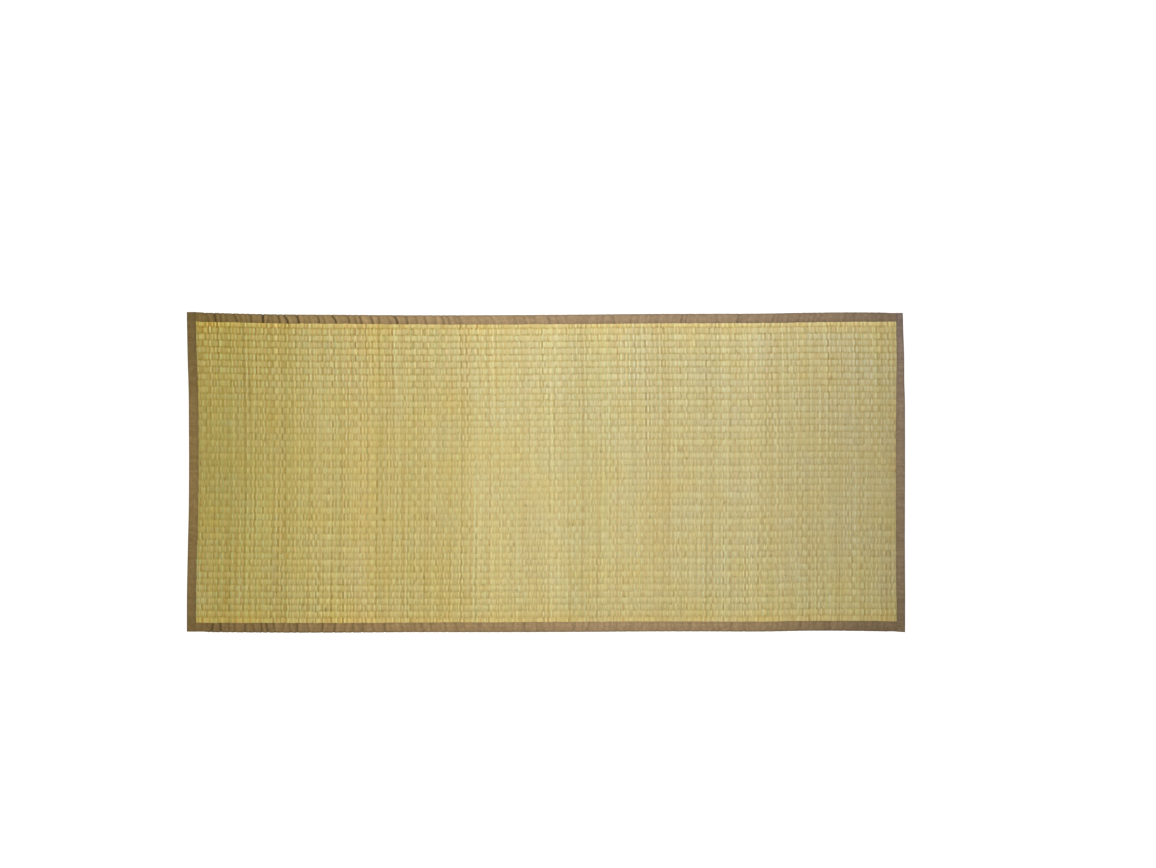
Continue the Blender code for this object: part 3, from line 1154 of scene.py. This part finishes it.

# The last column of each point is painted shade: round the fold's turn, in the stitch groove and at the
# hem
TAPE_SECTION = table(
    TapePoint,
    (1.00, 0.0, 0.30, 0.0, 0.0),
    (1.00, -0.4, 0.00, 0.0, 0.0),
    (0.50, 0.0, 0.00, 0.0, 0.0),
    (0.00, 2.0, 0.00, 0.0, 0.0),
    (0.00, 0.95, 0.28, 0.0, 0.1),
    (0.00, 0.26, 0.98, 0.1, 0.3, 0.7),
    (0.00, 0.00, 1.90, 0.2, 0.5, 0.62),
    (0.00, 0.26, 2.82, 0.4, 0.7, 0.56),
    (0.00, 0.95, 3.46, 0.6, 0.9, 0.68),
    (0.00, 2.4, 3.78, 0.8, 1.0, 0.92),
    (0.24, 0.0, 3.88, 1.0, 1.0),
    (0.48, 0.0, 3.90, 1.0, 1.0),
    (1.00, -7.4, 3.80, 0.92, 1.0),
    (1.00, GROOVE_MM, 3.44, 0.65, 1.0, 0.90),
    (1.00, -5.0, 3.66, 0.75, 1.0, 0.97),
    (1.00, -2.0, 3.50, 0.65, 1.0, 0.92),
    (1.00, -0.2, 3.42, 0.6, 1.0, 0.63),
    (1.00, 0.0, 3.20, 0.5, 1.0, 0.55),
    (1.00, -0.3, 2.92, 0.5, 1.0),
    (1.00, -2.2, 2.86, 0.5, 1.0),
    (0.55, 0.0, 3.25, 0.95, 1.0),
    (0.00, 2.2, 3.15, 0.8, 1.0),
    (0.00, 0.65, 1.90, 0.2, 0.5),
    (0.00, 2.2, 0.60, 0.0, 0.0),
    (1.00, -0.4, 0.60, 0.0, 0.0),
)


class ShadeAlong(NamedTuple):
    """How light and how blue a strip's cloth is at one place along it, its lightness painted shade."""

    at: float
    light: float
    blue: float


# The lightness along each strip is painted shade, mostly darker towards its ends
BACK_SHADE_ALONG = table(
    ShadeAlong,
    (-1.0, 0.78, 0.86), (-0.85, 0.91, 0.87), (-0.6, 1.07, 0.92), (-0.3, 1.02, 0.96),
    (0.0, 1.0, 1.0), (0.3, 0.92, 1.02), (0.5, 0.89, 1.02), (0.75, 0.78, 1.05), (1.0, 0.65, 1.14),
)
FRONT_SHADE_ALONG = table(
    ShadeAlong,
    (-1.0, 0.69, 1.14), (-0.85, 0.775, 1.12), (-0.6, 0.885, 1.10), (-0.3, 0.945, 1.03),
    (0.1, 0.97, 1.03), (0.3, 0.97, 0.99), (0.6, 0.89, 0.95), (0.75, 0.79, 0.97), (1.0, 0.60, 1.10),
)
LEFT_SHADE_ALONG = table(
    ShadeAlong,
    (-0.44, 0.67, 1.13), (-0.3, 0.79, 1.14), (-0.07, 0.935, 1.07), (0.07, 0.92, 1.02),
    (0.22, 0.82, 0.96), (0.44, 0.64, 0.95),
)
RIGHT_SHADE_ALONG = table(
    ShadeAlong,
    (-0.44, 0.66, 1.14), (-0.3, 0.77, 1.15), (-0.07, 0.875, 1.15), (0.07, 0.90, 1.17),
    (0.22, 0.81, 1.24), (0.44, 0.66, 1.45),
)


class End(Enum):
    """How a strip of tape ends at a corner of the mat."""

    TUCKED_UNDER = "runs on under the tape of the next side"
    FOLDED_OVER = "covers the tape of the next side and closes over it"


# The darkest that painted shade makes the cloth, beside the plain cloth
LEAST_LIGHT = 0.2


def of_section(column: str) -> np.ndarray:
    """List one column of the tape's section."""
    return np.array([getattr(point, column) for point in TAPE_SECTION])


def lean_share(on_face: np.ndarray) -> np.ndarray:
    """Give how much of a crease's lean is reached across the face: it leans most beside the fold."""
    return on_face * (2 - on_face) - 0.5


@dataclass(frozen=True)
class SmallCreases:
    """Small soft creases in the gaps between a strip's main ones."""

    seed: int
    first_mm: Span = (8, 16)
    step_mm: Span = (9, 18)
    clear_mm: float = 8
    depth: Span = (0.06, 0.20)

    def added_to(self, creases: Sequence[Crease]) -> list[Crease]:
        """Draw the small creases.

        Args:
            creases: The main creases, in order.

        Returns:
            All the creases, in order.
        """
        rng = np.random.default_rng(self.seed)
        places = np.array([crease.at_mm for crease in creases])
        leans = np.array([crease.lean_mm for crease in creases])
        small = []
        at = places[0] + rng.uniform(*self.first_mm)
        while at < places[-1]:
            if np.abs(places - at).min() > self.clear_mm:
                depth = float(rng.uniform(*self.depth))
                small.append(Crease(float(at), depth, float(np.interp(at, places, leans))))
            at += rng.uniform(*self.step_mm)
        return sorted([*creases, *small])


@dataclass
class Puckers:
    """The creases of a strip of tape: each is a narrow fold with a soft swell on its right.

    Each fold holds painted shade, fainter painted shade lies on its gentle left slope, and a painted
    gleam of light lies beside it on the swell. The gleam's place and its spread are shares of the
    half width of the fold's painted shade.
    """

    creases: Sequence[Crease]
    rise: float = 0.0015
    dip: float = 0.00030
    spread: float = 0.0070
    fold: float = 0.0015
    soft_fold: float = 0.0022
    skew: float = 0.0028
    notch: float = 0.0006
    bulge: float = 0.0014
    bulge_ends: float = 0.025
    crease_painted_shade: float = 0.0033
    crease_shade_depth: float = 0.56
    faintness: float = 1.25
    slant_mm: float = 40.0
    lee_painted_shade: float = 0.0080
    lee_shade_depth: float = 0.10
    painted_gleam: float = 0.12
    gleam_aside: float = 2.1
    gleam_spread: float = 1.4
    offsets_mm: tuple[float, ...] = (-9, -5.5, -3.3, -1.9, -0.9, 0, 0.9, 1.9, 3.3, 5.5, 9)
    fine_from: float = 0.3
    least_gap: float = 0.0009

    def distances(self, at: np.ndarray) -> Iterator[tuple[Crease, np.ndarray]]:
        """Give each crease with how far to the right of it each place lies."""
        return ((crease, at - crease.at_mm * MM) for crease in self.creases)

    def half_width(self, crease: Crease) -> float:
        """Give a crease's half width: the shallower, the softer."""
        return self.fold + self.soft_fold * max(0.0, 1 - crease.depth)

    def folds(self, at: np.ndarray) -> np.ndarray:
        """Give how deep in a fold each place along the strip is, from 0 to about 1."""
        near = self.distances(at)
        return sum((crease.depth * bump(away, self.half_width(crease)) for crease, away in near), 0 * at)

    def outwards(self, at: np.ndarray) -> np.ndarray:
        """Work out how far the outer fold bulges outwards, because it is drawn in at the creases.

        Args:
            at: Places along the strip.

        Returns:
            The bulge at each place, in metres.
        """
        if not self.creases:
            return np.zeros_like(at)
        deep = np.minimum(self.folds(at), 1.0)
        first, last = self.creases[0].at_mm * MM, self.creases[-1].at_mm * MM
        inside = ease(first - self.bulge_ends, first, at) * ease(last + self.bulge_ends, last, at)
        return (self.bulge * (1 - deep) - self.notch * deep) * inside

    def shade(self, at: np.ndarray) -> np.ndarray:
        """Work out how light the cloth is: painted shade in the folds, a painted gleam beside them.

        Args:
            at: Places along the strip.

        Returns:
            The lightness at each place, where 1 is the plain cloth.
        """
        light = np.ones_like(at)
        for crease, away in self.distances(at):
            slanted = 1 + abs(crease.lean_mm) / self.slant_mm
            # Painted shade in each fold and on its gentle left slope, and a painted gleam of light on
            # the swell beside it
            crease_painted_shade = self.crease_shade_depth * slanted * bump(away, self.crease_painted_shade)
            lee_painted_shade = self.lee_shade_depth * np.exp(-np.abs(away) / self.lee_painted_shade) * (away < 0)
            beside = away - self.gleam_aside * self.crease_painted_shade
            painted_gleam = self.painted_gleam * bump(beside, self.gleam_spread * self.crease_painted_shade)
            light += crease.depth ** self.faintness * (painted_gleam - crease_painted_shade - lee_painted_shade)
        return np.maximum(light, LEAST_LIGHT)

    def height(self, at: np.ndarray) -> np.ndarray:
        """Work out how high the tape stands over its plain shape.

        Args:
            at: Places along the strip.

        Returns:
            The height at each place, in metres.
        """
        height = np.zeros_like(at)
        for crease, away in self.distances(at):
            swell = bump(away - self.skew, self.spread)
            fold = bump(away, self.half_width(crease))
            height += min(crease.depth, 1.0) * (self.rise * swell - (self.rise + self.dip) * fold)
        return np.minimum(height, self.rise)

    def lean(self, at: np.ndarray, first: float, last: float) -> np.ndarray:
        """Work out how far the creases lean, easing to nothing at the strip's ends.

        Args:
            at: Places along the strip.
            first: The strip's first end.
            last: Its last end.

        Returns:
            The lean at each place, in metres.
        """
        if not self.creases:
            return np.zeros_like(at)
        places = [first, *(crease.at_mm * MM for crease in self.creases), last]
        leans = [0.0, *(crease.lean_mm * MM for crease in self.creases), 0.0]
        return np.interp(at, places, leans)

    def stations(self, first: float, last: float, spacing: float) -> np.ndarray:
        """List the places along the strip, closer together at its creases.

        Args:
            first: The strip's first end.
            last: Its last end.
            spacing: How far apart the even places are.

        Returns:
            The places, in order, never closer than the least gap.
        """
        even = np.linspace(first, last, round((last - first) / spacing) + 1)
        close = []
        for crease in self.creases:
            offsets = self.offsets_mm if crease.depth > self.fine_from else self.offsets_mm[1::2]
            close.extend((crease.at_mm + offset) * MM for offset in offsets)
        places = np.sort(np.concatenate([even, np.array(close)]))
        places = places[(places >= first) & (places <= last - self.least_gap)]
        keep = [places[0]]
        for place in places[1:]:
            if place - keep[-1] >= self.least_gap:
                keep.append(place)
        return np.array([*keep, last])


@dataclass
class Binding:
    """A strip of cotton tape folded over one side of the mat and sewn through.

    The pairs that end in _from say over which stretch something sets in: across the face as shares
    of its width, and at a corner in metres inwards from the next tape's sewn edge. The section's
    points that are lifted more than upper_lift are the face, and those at the fold that less than
    fold_pucker of a pucker's height reaches are the ones that bulge outwards. wrap is the width of
    cloth that goes round the fold.
    """

    side: Side
    ends: tuple[Side, Side]
    finish: bpy.types.Material
    ending: End
    puckers: Puckers
    shade_along: Sequence[ShadeAlong]
    green: float = 1.0
    spacing: float = 0.0045
    sewn_painted_light: float = 0.0
    sewn_light_from: Span = (0.5, 0.8)
    ribbed: float = 0.60
    gather_from: Span = (0.45, 0.75)
    gather_pitch: float = 0.0040
    gather_shade: float = 0.090
    sewn_crease_shade: float = 0.15
    crease_shade_from: Span = (0.4, 0.8)
    waver: float = 0.00035
    waver_pitch: float = 0.009
    knots_to: float = 1.1 * HALF_LENGTH
    tuck: float = 0.008
    tuck_from: Span = (-0.0020, -0.0060)
    tuck_middle: float = 0.00185
    tuck_inset: float = 0.0026
    tuck_even: float = 0.4
    tuck_press: float = 0.34
    corner_lift: float = 0.00065
    lift_from: Span = (0.004, -0.002)
    overhang: float = 0.0004
    closing: float = 0.0022
    closing_height: float = 0.0012
    closing_share: float = 0.72
    end_stations_mm: tuple[float, ...] = (0.3, 0.8, 1.4, 2.2, 4, 12, 20, 23, 26, 29)
    upper_lift: float = 0.8
    fold_pucker: float = 0.7
    ripple: float = 0.00012
    ripple_pitches: tuple[float, ...] = (0.19, 0.083, 0.041)
    wrap: float = 0.002
    seed: int = 3

    def ends_at(self, across: np.ndarray) -> tuple[np.ndarray, np.ndarray]:
        """Give the places of the strip's two ends.

        Args:
            across: Places across the side, because the sides that it meets aren't straight.

        Returns:
            The first and the last end, at each of those places.
        """
        if self.ending is End.TUCKED_UNDER:
            return tuple(side.inside(across, side.face.at(across) - self.tuck) for side in self.ends)
        return tuple(side.inside(across, -self.overhang) for side in self.ends)

    def fold_ends(self) -> tuple[float, float]:
        """Give the strip's two ends along its outer fold."""
        return tuple(float(end) for end in self.ends_at(self.side.inside(0.0, 0.0)))

    def inward(self, at: np.ndarray) -> np.ndarray:
        """Work out how far inwards places lie from the sewn edges of the tapes at the corners.

        Args:
            at: Places along the strip.

        Returns:
            The distance from the nearer edge, below 0 outside it.
        """
        fold = self.side.inside(0.0, 0.0)
        first, last = (float(side.inside(fold, side.face.at(fold))) for side in self.ends)
        return np.minimum(at - first, last - at)

    def lifted(self, at: np.ndarray) -> np.ndarray:
        """Give how far the tape underneath lifts the strip at each place, at its corners."""
        return self.corner_lift * ease(*self.lift_from, self.inward(at))

    def unevenness(self, at: np.ndarray, pitch: float) -> np.ndarray:
        """Draw noise of spread 1 along the strip.

        Args:
            at: Places along the strip.
            pitch: How far apart the noise's knots are.

        Returns:
            The noise at each place.
        """
        knots = np.arange(-self.knots_to, self.knots_to, pitch)
        rng = np.random.default_rng((self.seed, len(knots)))
        return np.interp(at, knots, rng.normal(size=len(knots)))

    def tape_depths(self, at: np.ndarray) -> tuple[np.ndarray, np.ndarray]:
        """Work out the section's depths and heights along the strip, before its corners.

        Args:
            at: The places along the strip.

        Returns:
            The depths and the heights, each as stations by section points.
        """
        of_face, pucker = of_section("of_face"), of_section("pucker")
        depth = self.side.face.at(at)[:, None] * of_face + of_section("more_mm") * MM
        height = of_section("z_mm") * MM + self.puckers.height(at)[:, None] * pucker
        near_fold = (of_face == 0.0) & (pucker < self.fold_pucker)
        depth = depth - self.puckers.outwards(at)[:, None] * near_fold
        depth = depth + self.waver * self.unevenness(at, self.waver_pitch)[:, None] * of_face
        rng = np.random.default_rng(self.seed)
        ripples = sum(
            self.ripple * np.sin(math.tau * at / pitch + rng.uniform(0, math.tau))
            for pitch in self.ripple_pitches
        )
        return depth, height + ripples[:, None] * pucker

    def tints(self, at: np.ndarray, on_face: np.ndarray) -> np.ndarray:
        """Give the cloth's tint, which holds painted shade and light at its creases, gathers and
        section.

        Args:
            at: The places along the strip.
            on_face: How far across the face each section point lies, as stations by points.

        Returns:
            The tints, as stations by points by 3.
        """
        # Painted light and shade of small gathers along the strip, together with the cloth's own fine
        # mottle
        gathered = np.maximum(ease(*self.gather_from, on_face), self.ribbed)
        gathers = self.gather_shade * self.unevenness(at, self.gather_pitch)[:, None] * gathered
        # The creases' painted shade, deeper towards the sewn edge
        crease_painted_shade = (self.puckers.shade(at) - 1)[:, None]
        crease_painted_shade = crease_painted_shade * (1 + self.sewn_crease_shade * ease(*self.crease_shade_from, on_face))
        places, light, blue = np.array(self.shade_along).T
        # Painted shade of the fold, the stitch groove and the hem, from the section's last column
        tint = np.maximum(1 + crease_painted_shade + gathers, LEAST_LIGHT) * of_section("clean")
        # Painted shade along the strip
        tint = tint * np.interp(at, places, light)[:, None]
        # Painted light across the face towards the sewn edge; a value below 0 paints shade there
        tint = tint * (1 + self.sewn_painted_light * ease(*self.sewn_light_from, on_face))
        bluer = np.interp(at, places, blue)[:, None]
        return np.stack([tint, tint * self.green, tint * bluer], axis=-1)

    def tucked(self, depth: np.ndarray, height: np.ndarray,
               at: np.ndarray) -> tuple[np.ndarray, np.ndarray]:
        """Press the strip's ends flat, and narrow them, where they run under the next tape.

        Args:
            depth: The section's depths, as stations by points.
            height: Its heights.
            at: The places along the strip.

        Returns:
            The depths and heights at the ends as they lie there.
        """
        tucked = ease(*self.tuck_from, self.inward(at))[:, None]
        pressed = self.tuck_middle + (height - self.tuck_middle) * (1 - self.tuck_press * tucked)
        from_fold = 1 - np.clip(depth / (2 * self.tuck_inset), 0.0, 1.0)
        inset = self.tuck_inset * tucked * (self.tuck_even + (1 - self.tuck_even) * from_fold)
        return depth + inset, pressed

    def closed(self, height: np.ndarray, at: np.ndarray) -> np.ndarray:
        """Lift the strip over what lies under it at a corner, and close its cut end.

        Args:
            height: The section's heights, as stations by points.
            at: The places along the strip.

        Returns:
            The heights at the corners as they lie there.
        """
        first, last = self.fold_ends()
        raised = height + self.lifted(at)[:, None] * of_section("lift")
        from_end = np.clip(np.minimum(at - first, last - at) / self.closing, 0.0, 1.0)
        shut = 1 - np.sqrt(1 - (1 - from_end) ** 2)[:, None]
        return raised + (self.closing_height - raised) * self.closing_share * shut

    def laid(self, run: np.ndarray, across: np.ndarray, height: np.ndarray) -> np.ndarray:
        """Give points by their places along the side and across it, and their heights."""
        x, y = (run, across) if self.side.along_x else (across, run)
        return points(x, y, height)

    def rings(self) -> tuple[np.ndarray, np.ndarray, np.ndarray]:
        """Work out the strip's rings.

        Returns:
            The rings, as 1 by stations by points by 3, the stations, and the tints.
        """
        first, last = self.fold_ends()
        at = self.puckers.stations(first, last, self.spacing)
        if self.ending is End.FOLDED_OVER:
            extra = np.array(self.end_stations_mm) * MM
            at = np.unique(np.concatenate([at, first + extra, last - extra]))
        depth, height = self.tape_depths(at)
        if self.ending is End.TUCKED_UNDER:
            depth, height = self.tucked(depth, height, at)
        else:
            height = self.closed(height, at)
        start, end = self.ends_at(self.side.inside(at[:, None], depth))
        run = start + (end - start) * ((at - first) / (last - first))[:, None]
        upper = of_section("lift") > self.upper_lift
        on_face = np.clip(depth / self.side.face.at(at)[:, None], 0.0, 1.0) * upper
        run = run + self.puckers.lean(at, first, last)[:, None] * lean_share(on_face)
        rings = self.laid(run, self.side.inside(run, depth), height)
        # On two of the sides the points run the other way round, so that the faces look outwards
        turn = -1 if (self.side.sign > 0) == self.side.along_x else 1
        return rings[None, :, ::turn], at, self.tints(at, on_face)[None, :, ::turn]

    def build(self) -> bpy.types.Object:
        """Make the strip.

        Returns:
            The strip.
        """
        rings, at, tint = self.rings()
        strip = loft(f"{self.side.name}_tape", rings, tint)
        strip.data.materials.append(self.finish)
        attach(strip, BODY)
        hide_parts(f"{self.side.name}_binding")
        width = 2 * float(np.mean(self.side.face.at(at))) + self.wrap
        return strip

    def stitch_line(self, pitch: float, tucked_short: float, closed_short: float) -> np.ndarray:
        """Give the points where the stitches lie, on top along the sewn edge.

        Args:
            pitch: How far apart they are.
            tucked_short: How far short of the next tape's edge they stop where the strip is tucked.
            closed_short: How far short of the strip's end they stop where it is folded over.

        Returns:
            The points, as stitches by 3.
        """
        first, last = self.fold_ends()
        if self.ending is End.TUCKED_UNDER:
            first, last = first + self.tuck + tucked_short, last - self.tuck - tucked_short
        else:
            first, last = first + closed_short, last - closed_short
        at = np.arange(first, last, pitch)
        groove = list(of_section("more_mm")).index(GROOVE_MM)
        depth, height = (values[:, groove] for values in self.tape_depths(at))
        if self.ending is End.FOLDED_OVER:
            height = height + self.lifted(at)
        run = at + self.puckers.lean(at, first, last) * lean_share(depth / self.side.face.at(at))
        return self.laid(run, self.side.inside(at, depth), height)


@dataclass
class Sewing:
    """The stitches that hold the tape down, one short spindle of thread for each.

    The spindle's stations are shares of its length and radius, and how high each one stands.
    """

    bindings: Sequence[Binding]
    pitch: float = 0.0044
    length: float = 0.0034
    radius: float = 0.00033
    spindle: tuple[Triple, ...] = ((-0.5, 0.35, -0.00020), (0.0, 1.0, 0.00016), (0.5, 0.35, -0.00020))
    waver: float = 0.00012
    tucked_short: float = 0.001
    closed_short: float = 0.003
    finish: TwineFinish = TwineFinish("sewing_thread", (0.15, 0.10, 0.055))
    seed: int = 12

    def stitches(self, binding: Binding, rng: np.random.Generator) -> np.ndarray:
        """Work out the stitches of one binding.

        Args:
            binding: The binding.
            rng: The seeded generator.

        Returns:
            The rings, as stitches by stations by 4 by 3.
        """
        places = binding.stitch_line(self.pitch, self.tucked_short, self.closed_short)
        along = np.array([1.0, 0.0, 0.0] if binding.side.along_x else [0.0, 1.0, 0.0])
        aside = np.array([0.0, -1.0, 0.0] if binding.side.along_x else [1.0, 0.0, 0.0])
        up = np.array([0.0, 0.0, 1.0])
        places = places + aside * rng.normal(0.0, self.waver, (len(places), 1))
        section = [aside * beside + up * over for beside, over in rod_corners()]
        stations = []
        for share, thick, rise in self.spindle:
            middle = places + along * self.length * share + up * rise
            corners = [middle + corner * self.radius * thick for corner in section]
            stations.append(np.stack(corners, axis=1))
        return np.stack(stations, axis=1)

    def build(self) -> bpy.types.Object:
        """Make all the stitches as one piece.

        Returns:
            The piece.
        """
        rng = np.random.default_rng(self.seed)
        rings = [self.stitches(binding, rng) for binding in self.bindings]
        thread = loft("edge_stitches", np.concatenate(rings))
        thread.data.materials.append(self.finish.build())
        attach(thread, BODY)
        return thread


class FarLamp(NamedTuple):
    """A far soft lamp: the direction towards it, its strength, its softness and its colour."""

    name: str
    towards: Triple
    strength: float
    softness: float
    colour: Colour


class Lamp(NamedTuple):
    """A soft lamp near the mat: its place, its size, its power in watts and its colour.

    It faces straight down, turned by the tilt towards the back, or towards the front where that is
    below 0.
    """

    name: str
    place: Triple
    size: Span
    watts: float
    colour: Colour
    tilt_deg: float = 0.0


def hang(name: str, data: bpy.types.ID) -> bpy.types.Object:
    """Bring a lamp or a camera into the scene.

    Args:
        name: The new object's name.
        data: The lamp's or the camera's own data.

    Returns:
        The object.
    """
    hung = bpy.data.objects.new(name, data)
    bpy.context.scene.collection.objects.link(hung)
    return hung


@dataclass
class Studio:
    """The pale floor, the soft lamps and the camera straight over the mat."""

    lens_mm: float = 70.0
    sensor_mm: float = 36.0
    far_clip: float = 100.0
    floor_half: float = 8.0
    floor_drop: float = 0.0002
    sky: float = 0.03
    sky_colour: Colour = (1.0, 1.0, 1.0)
    far_lamp: FarLamp = FarLamp("far_lamp", (-0.25, 0.30, 0.92), 0.935, 0.25, (1.0, 0.921, 0.30))
    lamps: tuple[Lamp, ...] = (
        Lamp("main_lamp", (0.289, -0.05, 1.417), (0.6, 2.57), 23.2, (0.909, 0.905, 1.0)),
        Lamp("warm_lamp", (-0.505, -0.318, 2.20), (0.6, 0.6), 29.9, (1.0, 0.739, 0.0)),
        Lamp("back_strip", (0.24, 0.70, 0.473), (1.8, 0.05), 3.65, (1.0, 0.95, 0.825), -40.2),
    )

    def build_floor(self) -> None:
        """Lay the floor just under the mat."""
        bpy.ops.mesh.primitive_plane_add(size=2 * self.floor_half, location=(0, 0, -self.floor_drop))
        floor = bpy.context.active_object
        floor.name = "studio_floor"
        floor.data.materials.append(FloorFinish().build())

    def build_far_lamp(self) -> None:
        """Set up the far lamp."""
        data = bpy.data.lights.new(self.far_lamp.name, "SUN")
        data.energy = self.far_lamp.strength
        data.angle = self.far_lamp.softness
        data.color = self.far_lamp.colour
        towards = Vector(self.far_lamp.towards)
        hang(self.far_lamp.name, data).rotation_euler = towards.to_track_quat("Z", "Y").to_euler()

    def build_lamps(self) -> None:
        """Hang the near lamps, unseen by the camera."""
        for lamp in self.lamps:
            data = bpy.data.lights.new(lamp.name, "AREA")
            data.shape = "RECTANGLE"
            data.size, data.size_y = lamp.size
            data.energy = lamp.watts
            data.color = lamp.colour
            hung = hang(lamp.name, data)
            hung.location = lamp.place
            hung.rotation_euler.x = math.radians(lamp.tilt_deg)
            hung.visible_camera = False

    def build_sky(self) -> None:
        """Light the surroundings a little."""
        world = bpy.data.worlds.new("studio_sky")
        world.use_nodes = True
        background = world.node_tree.nodes["Background"]
        background.inputs["Color"].default_value = opaque(self.sky_colour)
        background.inputs["Strength"].default_value = self.sky
        bpy.context.scene.world = world

    def build_camera(self) -> None:
        """Hang the camera straight over the photograph's middle, so that its frame fits."""
        data = bpy.data.cameras.new("photo_camera")
        data.lens = self.lens_mm
        data.sensor_width = self.sensor_mm
        data.clip_end = self.far_clip
        frame_width = PHOTO_WIDTH_PX / PIXELS_PER_METRE
        x = (PHOTO_WIDTH_PX / 2 - MAT_CENTRE_PX[0]) / PIXELS_PER_METRE
        y = (MAT_CENTRE_PX[1] - PHOTO_HEIGHT_PX / 2) / PIXELS_PER_METRE
        camera = hang("photo_camera", data)
        camera.location = (x, y, frame_width * self.lens_mm / self.sensor_mm)
        bpy.context.scene.camera = camera

    def build(self) -> None:
        """Make the floor, the light and the camera."""
        self.build_floor()
        self.build_far_lamp()
        self.build_lamps()
        self.build_sky()
        self.build_camera()
        bpy.context.scene.view_settings.view_transform = "Standard"


def report(pieces: Sequence[bpy.types.Object]) -> None:
    """Log each piece with its number of triangles.

    Args:
        pieces: The pieces.
    """
    for piece in pieces:
        triangles = sum(len(face.vertices) - 2 for face in piece.data.polygons)
        LOG.info("%s: %d triangles", piece.name, triangles)


def main() -> None:
    """Build the studio and the mat, piece by piece."""
    logging.basicConfig(level=logging.INFO, format="%(name)s %(message)s")
    Studio().build()
    report(RushField().build())
    tape = TapeFinish().build()
    back_puckers = Puckers(SmallCreases(seed=31).added_to(BACK_CREASES))
    front_puckers = Puckers(SmallCreases(seed=32).added_to(FRONT_CREASES), crease_shade_depth=0.54)
    short = {"spacing": 0.003, "gather_pitch": 0.003, "ribbed": 1.0}
    bindings = [
        Binding(BACK, (LEFT, RIGHT), tape, End.TUCKED_UNDER, back_puckers, BACK_SHADE_ALONG, seed=3),
        Binding(FRONT, (LEFT, RIGHT), tape, End.TUCKED_UNDER, front_puckers, FRONT_SHADE_ALONG,
                sewn_painted_light=0.11, seed=4),
        Binding(LEFT, (FRONT, BACK), tape, End.FOLDED_OVER, Puckers(()), LEFT_SHADE_ALONG,
                green=1.01, gather_shade=0.06, sewn_painted_light=-0.02, seed=5, **short),
        Binding(RIGHT, (FRONT, BACK), tape, End.FOLDED_OVER, Puckers(()), RIGHT_SHADE_ALONG,
                green=1.04, gather_shade=0.07, seed=6, **short),
    ]
    report([binding.build() for binding in bindings])
    report([Sewing(bindings).build()])


if __name__ == "__main__":
    main()
